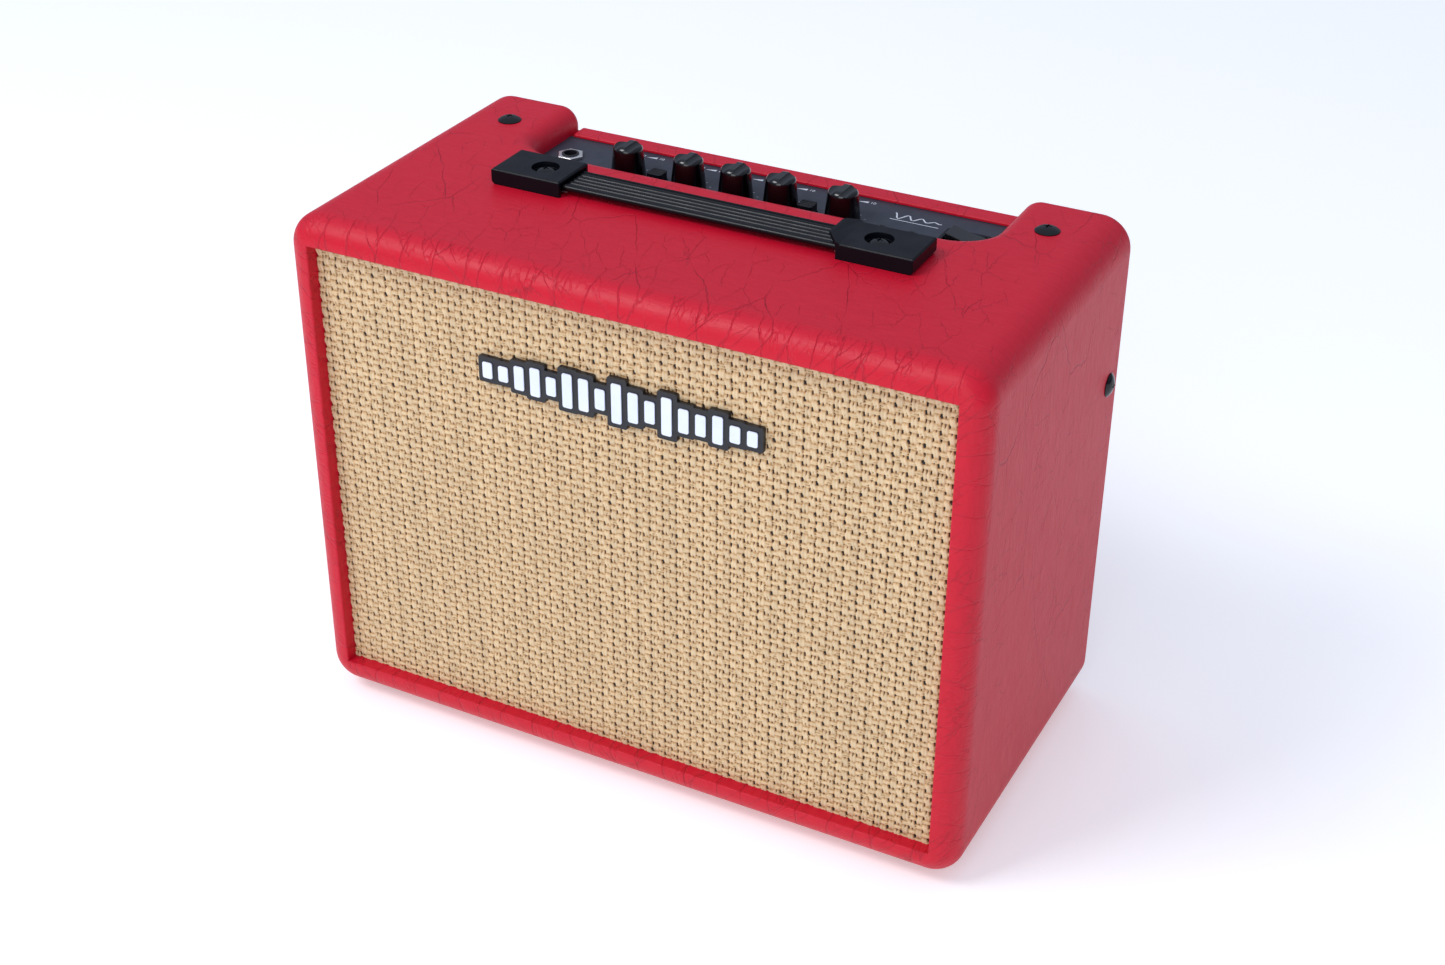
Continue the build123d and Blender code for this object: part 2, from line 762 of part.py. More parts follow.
with BuildPart() as input_jack:
    with Locations((jack_x, jack_y, panel_bottom)):
        Box(
            jack_body_width,
            jack_body_width,
            jack_body_depth,
            align=(Align.CENTER, Align.CENTER, Align.MAX),
        )
        Cylinder(
            jack_bush_radius,
            panel_sheet + jack_nut_height + bush_above,
            align=(Align.CENTER, Align.CENTER, Align.MIN),
        )
    with Locations((jack_x, jack_y, panel_top + jack_nut_height + bush_above)):
        Cylinder(
            jack_bore,
            jack_body_depth,
            align=(Align.CENTER, Align.CENTER, Align.MAX),
            mode=Mode.SUBTRACT,
        )
input_jack.part.label = "input_jack"
export_step(input_jack.part, "parts/input_jack.step")

with BuildPart() as input_jack_nut:
    with BuildSketch(Plane.XY.offset(panel_top)):
        with Locations((jack_x, jack_y)):
            RegularPolygon(jack_nut_across / 2, 6, major_radius=False)
            Circle(jack_bush_radius, mode=Mode.SUBTRACT)
    extrude(amount=jack_nut_height)
    chamfer(
        input_jack_nut.faces().sort_by(Axis.Z)[-1].outer_wire().edges(), 0.3
    )
input_jack_nut.part.label = "input_jack_nut"
export_step(input_jack_nut.part, "parts/input_jack_nut.step")

with BuildPart() as small_jacks:
    for x in small_jack_places:
        with Locations((x, small_jack_y, board_z)):
            Box(
                small_jack_width,
                small_jack_depth,
                panel_bottom - board_z,
                align=(Align.CENTER, Align.CENTER, Align.MIN),
            )
            Cylinder(
                small_jack_bush,
                panel_top + 1.6 - board_z,
                align=(Align.CENTER, Align.CENTER, Align.MIN),
            )
        with Locations((x, small_jack_y, board_z + 1.0)):
            Cylinder(
                small_jack_bore,
                2 * (panel_top - board_z),
                align=(Align.CENTER, Align.CENTER, Align.MIN),
                mode=Mode.SUBTRACT,
            )
small_jacks.part.label = "small_jacks"
export_step(small_jacks.part, "parts/small_jacks.step")

with BuildPart() as power_inlet:
    with Locations((inlet_x, rear_face, inlet_z)):
        Cylinder(
            inlet_radius + inlet_flange,
            inlet_flange,
            rotation=(90, 0, 0),
            align=(Align.CENTER, Align.CENTER, Align.MAX),
        )
        Cylinder(
            inlet_radius,
            16.0,
            rotation=(90, 0, 0),
            align=(Align.CENTER, Align.CENTER, Align.MIN),
        )
    with Locations((inlet_x, rear_face + inlet_flange, inlet_z)):
        Cylinder(
            inlet_bore,
            inlet_flange + inlet_depth,
            rotation=(90, 0, 0),
            align=(Align.CENTER, Align.CENTER, Align.MIN),
            mode=Mode.SUBTRACT,
        )
    with Locations((inlet_x, rear_face - inlet_depth, inlet_z)):
        Cylinder(
            inlet_pin,
            inlet_depth - hole_gap,
            rotation=(90, 0, 0),
            align=(Align.CENTER, Align.CENTER, Align.MAX),
        )
power_inlet.part.label = "power_inlet"
export_step(power_inlet.part, "parts/power_inlet.step")

# ---- Speakers -------------------------------------------------------------------------------
basket_depth = 24.0
basket_sheet = 1.5
basket_inner = speaker_hole - 1.0
cone_front = baffle_back - 0.5
cone_back = cone_front + cone_depth
plate_y = baffle_back + basket_depth
gap_inner = coil_radius - cone_wall - body_gap  # the pole piece
gap_outer = coil_radius + body_gap
terminal_z = speaker_z + speaker_frame / 2 - 2.2


def speaker_plane(x, y):
    """Plane across a speaker's axis, facing the back."""
    return Plane(origin=(x, y, speaker_z), x_dir=(1, 0, 0), z_dir=(0, 1, 0))


def speaker_turn(x, points):
    """Ring turned about a speaker's axis from its section, as (radius, y) points."""
    with BuildPart() as ring:
        with BuildSketch(Plane.XY.offset(speaker_z)):
            with BuildLine():
                Polyline(*[(x + radius, y) for radius, y in points], close=True)
            make_face()
        revolve(axis=Axis((x, 0, speaker_z), (0, 1, 0)))
    return ring.part


with BuildPart() as speaker_baskets:
    for x in speaker_centres:
        with BuildSketch(speaker_plane(x, baffle_back)):
            RectangleRounded(speaker_frame, speaker_frame, 8.0)
            Circle(basket_inner, mode=Mode.SUBTRACT)
            with GridLocations(2 * speaker_screw, 2 * speaker_screw, 2, 2):
                Circle(speaker_screw_radius + hole_gap, mode=Mode.SUBTRACT)
        extrude(amount=basket_sheet)
        add(
            speaker_turn(
                x,
                [
                    (basket_inner, baffle_back + basket_sheet),
                    (basket_inner + basket_sheet, baffle_back + basket_sheet),
                    (magnet_radius - 2.0, plate_y),
                    (coil_radius + 3.0, plate_y),
                    (coil_radius + 3.0, plate_y - basket_sheet),
                    (magnet_radius - 3.5, plate_y - basket_sheet),
                ],
            )
        )
        with Locations(Location(speaker_plane(x, baffle_back + 2 * basket_sheet))):
            with PolarLocations(0, 4):
                Box(
                    speaker_frame,
                    15.0,
                    basket_depth - 5 * basket_sheet,
                    align=(Align.MIN, Align.CENTER, Align.MIN),
                    mode=Mode.SUBTRACT,
                )
speaker_baskets.part.label = "speaker_baskets"
export_step(speaker_baskets.part, "parts/speaker_baskets.step")

# The surround's half roll stands forward inside the baffle's hole; its rim lies on the frame.
roll_inner = cone_radius + body_gap
roll_middle = (roll_inner + basket_inner) / 2
roll_rise = 0.42 * (basket_inner - roll_inner)
roll_wall = 0.8
with BuildPart() as speaker_surrounds:
    for x in speaker_centres:
        with BuildSketch(Plane.XY.offset(speaker_z)):
            with BuildLine():
                ThreePointArc(
                    (x + roll_inner, baffle_back),
                    (x + roll_middle, baffle_back - roll_rise),
                    (x + basket_inner, baffle_back),
                )
                Line((x + basket_inner, baffle_back), (x + basket_inner, baffle_back - roll_wall))
                ThreePointArc(
                    (x + basket_inner, baffle_back - roll_wall),
                    (x + roll_middle, baffle_back - roll_rise - roll_wall),
                    (x + roll_inner, baffle_back - roll_wall),
                )
                Line((x + roll_inner, baffle_back - roll_wall), (x + roll_inner, baffle_back))
            make_face()
        revolve(axis=Axis((x, 0, speaker_z), (0, 1, 0)))
        add(
            speaker_turn(
                x,
                [
                    (basket_inner, baffle_back - roll_wall),
                    (speaker_hole - hole_gap, baffle_back - roll_wall),
                    (speaker_hole - hole_gap, baffle_back),
                    (basket_inner, baffle_back),
                ],
            )
        )
speaker_surrounds.part.label = "speaker_surrounds"
export_step(speaker_surrounds.part, "parts/speaker_surrounds.step")

# Each cone carries its dust cap and the coil former that runs in the magnet's gap.
former_end = plate_y + 3.0
former_inner = coil_radius - cone_wall
dome_rise = 3.5
dome_radius = (former_inner**2 + dome_rise**2) / (2 * dome_rise)
for name, x in zip(("left_cone", "right_cone"), speaker_centres):
    with BuildPart() as cone:
        with BuildSketch(Plane.XY.offset(speaker_z)):
            with BuildLine():
                RadiusArc(
                    (x, cone_back - dome_rise - cone_wall),
                    (x + former_inner, cone_back - cone_wall),
                    -dome_radius,
                )
                Polyline(
                    (x + former_inner, cone_back - cone_wall),
                    (x + cone_radius - 1.0, cone_front - cone_wall),
                    (x + cone_radius, cone_front - cone_wall),
                    (x + cone_radius, cone_front),
                    (x + coil_radius, cone_back),
                    (x + coil_radius, former_end),
                    (x + former_inner, former_end),
                    (x + former_inner, cone_back),
                )
                RadiusArc(
                    (x + former_inner, cone_back), (x, cone_back - dome_rise), dome_radius
                )
                Line((x, cone_back - dome_rise), (x, cone_back - dome_rise - cone_wall))
            make_face()
        revolve(axis=Axis((x, 0, speaker_z), (0, 1, 0)))
    cone.part.label = name
    export_step(cone.part, f"parts/{name}.step")

with BuildPart() as speaker_magnets:
    for x in speaker_centres:
        add(
            speaker_turn(
                x,
                [
                    (0, plate_y),
                    (gap_inner, plate_y),
                    (gap_inner, plate_y + magnet_length - 3.0),
                    (gap_outer, plate_y + magnet_length - 3.0),
                    (gap_outer, plate_y),
                    (magnet_radius, plate_y),
                    (magnet_radius, plate_y + magnet_length),
                    (0, plate_y + magnet_length),
                ],
            )
        )
speaker_magnets.part.label = "speaker_magnets"
export_step(speaker_magnets.part, "parts/speaker_magnets.step")

frame_screw = truss_screw(9.0, head=3.0, height=1.4, shank=speaker_screw_radius)
with BuildPart() as speaker_screws:
    with Locations(
        *[
            Location((x, baffle_back + basket_sheet, z), (-90, 0, 0))
            for x, z in speaker_screw_places
        ]
    ):
        add(frame_screw)
speaker_screws.part.label = "speaker_screws"
export_step(speaker_screws.part, "parts/speaker_screws.step")

terminal_back = baffle_back + basket_sheet + 1.2
with BuildPart() as speaker_terminals:
    with Locations(*[(x, terminal_back, terminal_z) for x in speaker_centres]):
        Box(9.0, 1.2, 2.6, align=(Align.CENTER, Align.MAX, Align.CENTER))
speaker_terminals.part.label = "speaker_terminals"
export_step(speaker_terminals.part, "parts/speaker_terminals.step")

# ---- Leads between the speakers, the power inlet and the circuit board ----------------------
lead_radius = 1.0
lead_bend = 8.0
lead_under_board = board_z - board_sheet
lead_turn = (terminal_z + lead_under_board) / 2  # height where the speaker leads turn upright
inlet_tail = rear_face - 18.5


def lead(points):
    """Round lead along straight runs joined by tangent arcs, no larger than its runs allow."""
    runs = [(Vector(b) - Vector(a)).length for a, b in zip(points, points[1:])]
    with BuildPart() as wire:
        with BuildLine() as route:
            FilletPolyline(*points, radius=min(lead_bend, 0.45 * min(runs)))
        with BuildSketch(Plane(origin=route.line @ 0, z_dir=route.line % 0)):
            Circle(lead_radius)
        sweep()
    return wire.part


with BuildPart() as speaker_leads:
    for x in speaker_centres:
        add(
            lead(
                [
                    (x, terminal_back, terminal_z),
                    (x, terminal_back + 16.0, terminal_z),
                    (x, board_front + 10.0, lead_turn),
                    (x, board_front + 10.0, lead_under_board),
                ]
            )
        )
speaker_leads.part.label = "speaker_leads"
export_step(speaker_leads.part, "parts/speaker_leads.step")

with BuildPart() as power_lead:
    add(
        lead(
            [
                (inlet_x, inlet_tail, inlet_z),
                (inlet_x, inlet_tail - 26.0, inlet_z),
                (board_left + 7.0, inlet_tail - 30.0, lead_under_board - 34.0),
                (board_left + 7.0, inlet_tail - 30.0, lead_under_board),
            ]
        )
    )
power_lead.part.label = "power_lead"
export_step(power_lead.part, "parts/power_lead.step")

# ---- Handle ---------------------------------------------------------------------------------
cap_top = cab_top + cap_height
cap_room_top = cap_top - cap_wall
recess_floor = cap_top - cap_recess_depth
strap_bottom = cab_top + strap_air
strap_top = strap_bottom + strap_thickness
end_plate = 1.2
end_plate_bottom = cab_top + 1.4
boss_top = end_plate_bottom + end_plate + body_gap



def flared_lip():
    """Lip that rises and narrows from the right cap's mouth over the strap."""
    root = cap_inner_x + cap_wall
    with BuildPart() as lip:
        with BuildSketch(Plane.XZ.offset(-handle_y - cap_width / 2)):
            with BuildLine():
                Polyline(
                    (root, cap_top - lip_wall),
                    (cap_inner_x, cap_top - lip_wall),
                    (lip_x, cap_top + lip_rise - lip_wall),
                    (lip_x, cap_top + lip_rise),
                    (lip_x + lip_wall, cap_top + lip_rise),
                    (root, cap_top),
                    close=True,
                )
            make_face()
        extrude(amount=cap_width)
        with BuildSketch(Plane.XY.offset(cap_top - 2 * lip_wall)):
            with BuildLine():
                Polyline(
                    (lip_x, handle_y - lip_width / 2),
                    (cap_inner_x, handle_y - cap_width / 2),
                    (root, handle_y - cap_width / 2),
                    (root, handle_y + cap_width / 2),
                    (cap_inner_x, handle_y + cap_width / 2),
                    (lip_x, handle_y + lip_width / 2),
                    close=True,
                )
            make_face()
        extrude(amount=cap_height, mode=Mode.INTERSECT)
    return lip.part


for name, side in (("left_handle_cap", -1), ("right_handle_cap", 1)):
    with BuildPart() as cap:
        with BuildSketch(Plane.XZ.offset(-handle_y - cap_width / 2)):
            with BuildLine():
                Polyline(
                    (side * cap_inner_x, cab_top),
                    (side * cap_inner_x, cap_top),
                    (side * cap_outer_x, cap_top),
                    (side * cap_outer_x, cab_top + cap_foot_chamfer),
                    (side * (cap_outer_x - cap_foot_chamfer), cab_top),
                    close=True,
                )
            make_face()
        extrude(amount=cap_width)
        chamfer(
            [
                edge
                for edge in cap.faces().sort_by(Axis.Z)[-1].edges()
                if side < 0 or edge.center().X > cap_inner_x + cap_wall
            ],
            cap_edge,
        )
        with Locations((side * cap_inner_x, handle_y, cab_top)):
            Box(
                2 * (cap_outer_x - cap_inner_x - 2 * cap_wall),
                cap_width - 2 * cap_wall,
                2 * (cap_room_top - cab_top),
                mode=Mode.SUBTRACT,
            )
        with Locations((side * cap_screw_x, handle_y, cab_top)):
            Cylinder(
                cap_boss, cap_room_top - cab_top, align=(Align.CENTER, Align.CENTER, Align.MIN)
            )
        with Locations((side * cap_screw_x, handle_y, boss_top)):
            Cylinder(
                cap_recess_radius + cap_wall,
                cap_room_top - boss_top,
                align=(Align.CENTER, Align.CENTER, Align.MIN),
            )
        with Locations((side * cap_screw_x, handle_y, recess_floor)):
            Cylinder(
                cap_recess_radius,
                cap_height,
                align=(Align.CENTER, Align.CENTER, Align.MIN),
                mode=Mode.SUBTRACT,
            )
            Cylinder(screw_radius + hole_gap, 4 * cap_height, mode=Mode.SUBTRACT)
        if side > 0:
            add(flared_lip())
    cap.part.label = name
    export_step(cap.part, f"parts/{name}.step")

cap_screw = truss_screw(20.0, head=5.2, height=2.4)
with BuildPart() as cap_screws:
    with Locations(*[(side * cap_screw_x, handle_y, recess_floor) for side in (-1, 1)]):
        add(cap_screw)
cap_screws.part.label = "cap_screws"
export_step(cap_screws.part, "parts/cap_screws.step")

nut_height = 3.2
nut_across = 8.0
with BuildPart() as cap_nuts:
    with BuildSketch(Plane.XY.offset(inner_top)):
        with Locations(*[(side * cap_screw_x, handle_y) for side in (-1, 1)]):
            RegularPolygon(nut_across / 2, 6, major_radius=False)
            Circle(screw_radius, mode=Mode.SUBTRACT)
    extrude(amount=-nut_height)
cap_nuts.part.label = "cap_nuts"
export_step(cap_nuts.part, "parts/cap_nuts.step")

with BuildPart() as chassis_nuts:
    with BuildSketch(Plane.XY.offset(panel_bottom)):
        with Locations(*[(side * top_screw_x, top_screw_y) for side in (-1, 1)]):
            RegularPolygon(nut_across / 2, 6, major_radius=False)
            Circle(screw_radius, mode=Mode.SUBTRACT)
    extrude(amount=-nut_height)
chassis_nuts.part.label = "chassis_nuts"
export_step(chassis_nuts.part, "parts/chassis_nuts.step")

# Steel end plates, slotted for the screw posts, hold the strap's ends inside the caps.
plate_end = cap_outer_x - 3 * cap_wall
plate_slot = 20.0
with BuildPart() as strap_end_plates:
    for side in (-1, 1):
        middle = side * (strap_half + 1.0 + plate_end) / 2
        with BuildSketch(Plane.XY.offset(end_plate_bottom)):
            with Locations((middle, handle_y)):
                Rectangle(plate_end - strap_half - 1.0, strap_width - 2.0)
            with Locations((side * cap_screw_x, handle_y)):
                SlotCenterToCenter(
                    plate_slot - 2 * cap_boss, 2 * (cap_boss + body_gap), mode=Mode.SUBTRACT
                )
        extrude(amount=end_plate)
strap_end_plates.part.label = "strap_end_plates"
export_step(strap_end_plates.part, "parts/strap_end_plates.step")

# The strap bends in the middle when it is lifted, so it is made as two halves.
rib_room = strap_width - 2 * strap_bead - 1.0
rib_pitch = rib_room / strap_rib_count
for name, side in (("strap_left", -1), ("strap_right", 1)):
    with BuildPart() as strap:
        with BuildSketch(Plane.YZ.offset(side * strap_half)):
            with Locations((handle_y, (strap_bottom + strap_top) / 2)):
                RectangleRounded(strap_width, strap_thickness, strap_bead)
            with Locations(
                *[
                    (handle_y + (index - strap_rib_count / 2) * rib_pitch, strap_top)
                    for index in range(strap_rib_count + 1)
                ]
            ):
                Rectangle(rib_pitch * 0.35, 2 * strap_rib, mode=Mode.SUBTRACT)
        extrude(amount=-side * strap_half)
    strap.part.label = name
    export_step(strap.part, f"parts/{name}.step")

# ---- Feet -----------------------------------------------------------------------------------
foot_draft = 1.6  # how much narrower the foot is where it stands
foot_screw_head = 4.0
foot_counterbore = foot_screw_head + 0.6
with BuildPart() as feet:
    for x, y in foot_places:
        with BuildSketch(Plane.XY.offset(cab_bottom)):
            with Locations((x, y)):
                Circle(foot_radius)
        with BuildSketch(Plane.XY):
            with Locations((x, y)):
                Circle(foot_radius - foot_draft)
        loft()
    with Locations(*[(x, y, 0) for x, y in foot_places]):
        Cylinder(
            foot_counterbore,
            foot_screw_depth,
            align=(Align.CENTER, Align.CENTER, Align.MIN),
            mode=Mode.SUBTRACT,
        )
        Cylinder(screw_radius + hole_gap, 4 * foot_height, mode=Mode.SUBTRACT)
feet.part.label = "feet"
export_step(feet.part, "parts/feet.step")

foot_screw = truss_screw(foot_screw_length, head=foot_screw_head, height=1.8)
with BuildPart() as foot_screws:
    with Locations(*[Location((x, y, foot_screw_depth), (180, 0, 0)) for x, y in foot_places]):
        add(foot_screw)
foot_screws.part.label = "foot_screws"
export_step(foot_screws.part, "parts/foot_screws.step")
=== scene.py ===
"""Looks of a small two-speaker guitar amplifier in embossed red vinyl with a woven wheat grille.

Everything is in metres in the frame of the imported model: X to the right, Y to the back, Z up.
Each sub-assembly is a class that holds its own sizes, makes its meshes and dresses them.
"""

import json
import logging
import math
from dataclasses import dataclass, field
from enum import Enum

import bmesh
import bpy
import numpy as np
from mathutils import Matrix, Vector

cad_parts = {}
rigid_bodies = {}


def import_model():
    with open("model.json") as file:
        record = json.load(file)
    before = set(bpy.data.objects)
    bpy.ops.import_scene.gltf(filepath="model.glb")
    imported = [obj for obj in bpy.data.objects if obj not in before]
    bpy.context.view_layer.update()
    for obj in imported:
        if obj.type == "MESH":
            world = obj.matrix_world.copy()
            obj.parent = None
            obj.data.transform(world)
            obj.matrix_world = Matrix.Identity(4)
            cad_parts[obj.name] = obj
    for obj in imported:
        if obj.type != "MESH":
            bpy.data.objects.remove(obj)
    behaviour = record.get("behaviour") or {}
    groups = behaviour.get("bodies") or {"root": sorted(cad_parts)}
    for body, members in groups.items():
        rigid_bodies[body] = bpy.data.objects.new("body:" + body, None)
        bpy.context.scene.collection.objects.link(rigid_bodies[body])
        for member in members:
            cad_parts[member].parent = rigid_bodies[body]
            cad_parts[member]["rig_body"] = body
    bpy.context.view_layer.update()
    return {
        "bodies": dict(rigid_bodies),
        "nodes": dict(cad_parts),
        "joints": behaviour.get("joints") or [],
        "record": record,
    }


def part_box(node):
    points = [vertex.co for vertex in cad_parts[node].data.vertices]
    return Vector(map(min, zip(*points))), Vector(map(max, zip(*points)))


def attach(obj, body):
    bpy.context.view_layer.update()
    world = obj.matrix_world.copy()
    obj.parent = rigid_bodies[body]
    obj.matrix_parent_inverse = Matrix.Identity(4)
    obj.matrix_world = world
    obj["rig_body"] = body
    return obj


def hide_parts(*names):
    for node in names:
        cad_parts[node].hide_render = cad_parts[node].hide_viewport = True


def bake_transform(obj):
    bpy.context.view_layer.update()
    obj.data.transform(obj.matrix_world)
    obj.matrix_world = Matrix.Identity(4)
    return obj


log = logging.getLogger("amplifier")

MM = 0.001
SEED = 11

Socket = bpy.types.NodeSocket
Tree = bpy.types.NodeTree
Profile = list[tuple[float, float]]


class Slot(Enum):
    """Material slots of the record, one for each finish."""

    COVERING = "covering"
    BOARD = "board"
    BAFFLE = "baffle"
    CLOTH = "cloth"
    BADGE = "badge"
    BADGE_WHITE = "badge_white"
    BLACK_PLASTIC = "black_plastic"
    GLOSS_BLACK = "gloss_black"
    BLACK_STEEL = "black_steel"
    PANEL = "panel"
    STEEL = "steel"
    NICKEL = "nickel"
    CIRCUIT = "circuit"
    COMPONENT = "component"
    CONE = "cone"
    SURROUND = "surround"
    MAGNET = "magnet"
    RUBBER = "rubber"
    WIRE = "wire"


class Axis(Enum):
    """Directions that a pattern is drawn out along."""

    NONE = (1.0, 1.0, 1.0)
    ALONG_X = (0.12, 1.0, 1.0)
    GIRTH = (0.16, 1.0, 0.16)


# ---- Node and mesh helpers ------------------------------------------------------------------


def linear(code: str) -> tuple[float, float, float, float]:
    """Turns an sRGB hex colour into linear RGBA.

    Args:
        code: Six hex digits, such as "C4122A".

    Returns:
        The linear colour with alpha 1.
    """
    parts = [int(code[i : i + 2], 16) / 255 for i in (0, 2, 4)]
    red, green, blue = (p / 12.92 if p <= 0.04045 else ((p + 0.055) / 1.055) ** 2.4 for p in parts)
    return red, green, blue, 1.0


def add_node(
    tree: Tree,
    kind: str,
    values: dict | None = None,
    links: dict | None = None,
    **settings: object,
) -> bpy.types.ShaderNode:
    """Adds a shader node with its settings, socket values and links.

    Args:
        tree: Node tree that gets the node.
        kind: Node type after "ShaderNode".
        values: Input socket name or number to its value.
        links: Input socket name or number to the output socket that feeds it.
        **settings: Properties of the node itself.

    Returns:
        The new node.
    """
    node = tree.nodes.new(f"ShaderNode{kind}")
    for name, setting in settings.items():
        setattr(node, name, setting)
    for socket, value in (values or {}).items():
        node.inputs[socket].default_value = value
    for socket, source in (links or {}).items():
        tree.links.new(source, node.inputs[socket])
    return node


def start_material(name: str) -> tuple[bpy.types.Material, Tree, bpy.types.ShaderNode]:
    """Makes a node material.

    Args:
        name: Name of the material.

    Returns:
        The material, its node tree and its Principled shader.
    """
    material = bpy.data.materials.new(name)
    material.use_nodes = True
    return material, material.node_tree, material.node_tree.nodes["Principled BSDF"]


def make_object(name: str, mesh: bpy.types.Mesh, smooth: bool = True) -> bpy.types.Object:
    """Links a mesh into the scene.

    Args:
        name: Name of the piece.
        mesh: Its mesh, in the row frame.
        smooth: Whether its faces are smooth shaded.

    Returns:
        The new object.
    """
    mesh.polygons.foreach_set("use_smooth", [smooth] * len(mesh.polygons))
    piece = bpy.data.objects.new(name, mesh)
    bpy.context.scene.collection.objects.link(piece)
    return piece


def freeze(piece: bpy.types.Object) -> None:
    """Applies a piece's modifiers to its mesh."""
    graph = bpy.context.evaluated_depsgraph_get()
    finished = bpy.data.meshes.new_from_object(piece.evaluated_get(graph))
    piece.modifiers.clear()
    piece.data = finished


def grid_mesh(name: str, points: np.ndarray, wrap: bool = False) -> bpy.types.Mesh:
    """Makes a quad mesh from a grid of points.

    Args:
        name: Name of the mesh.
        points: Array of rows x columns x 3.
        wrap: Whether each row closes on itself.

    Returns:
        The mesh.
    """
    rows, columns = points.shape[:2]
    index = np.arange(rows * columns).reshape(rows, columns)
    if wrap:
        index = np.concatenate([index, index[:, :1]], axis=1)
    quads = np.stack([index[:-1, :-1], index[:-1, 1:], index[1:, 1:], index[1:, :-1]], axis=-1)
    mesh = bpy.data.meshes.new(name)
    mesh.from_pydata(points.reshape(-1, 3).tolist(), [], quads.reshape(-1, 4).tolist())
    return mesh


# ---- Finishes -------------------------------------------------------------------------------


@dataclass(frozen=True)
class Finish:
    """A hard finish with mottling and a fine surface grain.

    The grain is a noise whose cells are grain_mm wide, drawn out along one axis where the
    surface was brushed or drawn.
    """

    name: str
    colour: str
    shade: str
    roughness: float
    roughness_spread: float = 0.06
    metallic: float = 0.0
    ior: float = 1.5
    specular: float = 0.5
    coat: float = 0.0
    grain_mm: float = 0.6
    grain_depth_mm: float = 0.01
    mottle_mm: float = 9.0
    along: Axis = Axis.NONE

    def material(self) -> bpy.types.Material:
        """Returns the finish as a node material."""
        material, tree, shader = start_material(self.name)
        place = add_node(tree, "TexCoord").outputs["Object"]
        drawn = add_node(tree, "VectorMath", {1: self.along.value}, {0: place}, operation="MULTIPLY")
        mottle = add_node(
            tree,
            "TexNoise",
            {"Scale": 1 / (self.mottle_mm * MM), "Detail": 4.0, "Roughness": 0.6},
            {"Vector": drawn.outputs[0]},
        )
        grain = add_node(
            tree,
            "TexNoise",
            {"Scale": 1 / (self.grain_mm * MM), "Detail": 3.0, "Roughness": 0.55},
            {"Vector": drawn.outputs[0]},
        )
        tint = add_node(
            tree,
            "Mix",
            {"A": linear(self.colour), "B": linear(self.shade)},
            {"Factor": mottle.outputs["Fac"]},
            data_type="RGBA",
        )
        gloss = add_node(
            tree,
            "MapRange",
            {
                "From Min": 0.3,
                "From Max": 0.7,
                "To Min": self.roughness - self.roughness_spread,
                "To Max": self.roughness + self.roughness_spread,
            },
            {"Value": mottle.outputs["Fac"]},
        )
        bump = add_node(
            tree,
            "Bump",
            {"Strength": 0.6, "Distance": self.grain_depth_mm * MM},
            {"Height": grain.outputs["Fac"]},
        )
        tree.links.new(tint.outputs["Result"], shader.inputs["Base Color"])
        tree.links.new(gloss.outputs["Result"], shader.inputs["Roughness"])
        tree.links.new(bump.outputs["Normal"], shader.inputs["Normal"])
        shader.inputs["Metallic"].default_value = self.metallic
        shader.inputs["IOR"].default_value = self.ior
        shader.inputs["Specular IOR Level"].default_value = self.specular
        shader.inputs["Coat Weight"].default_value = self.coat
        return material


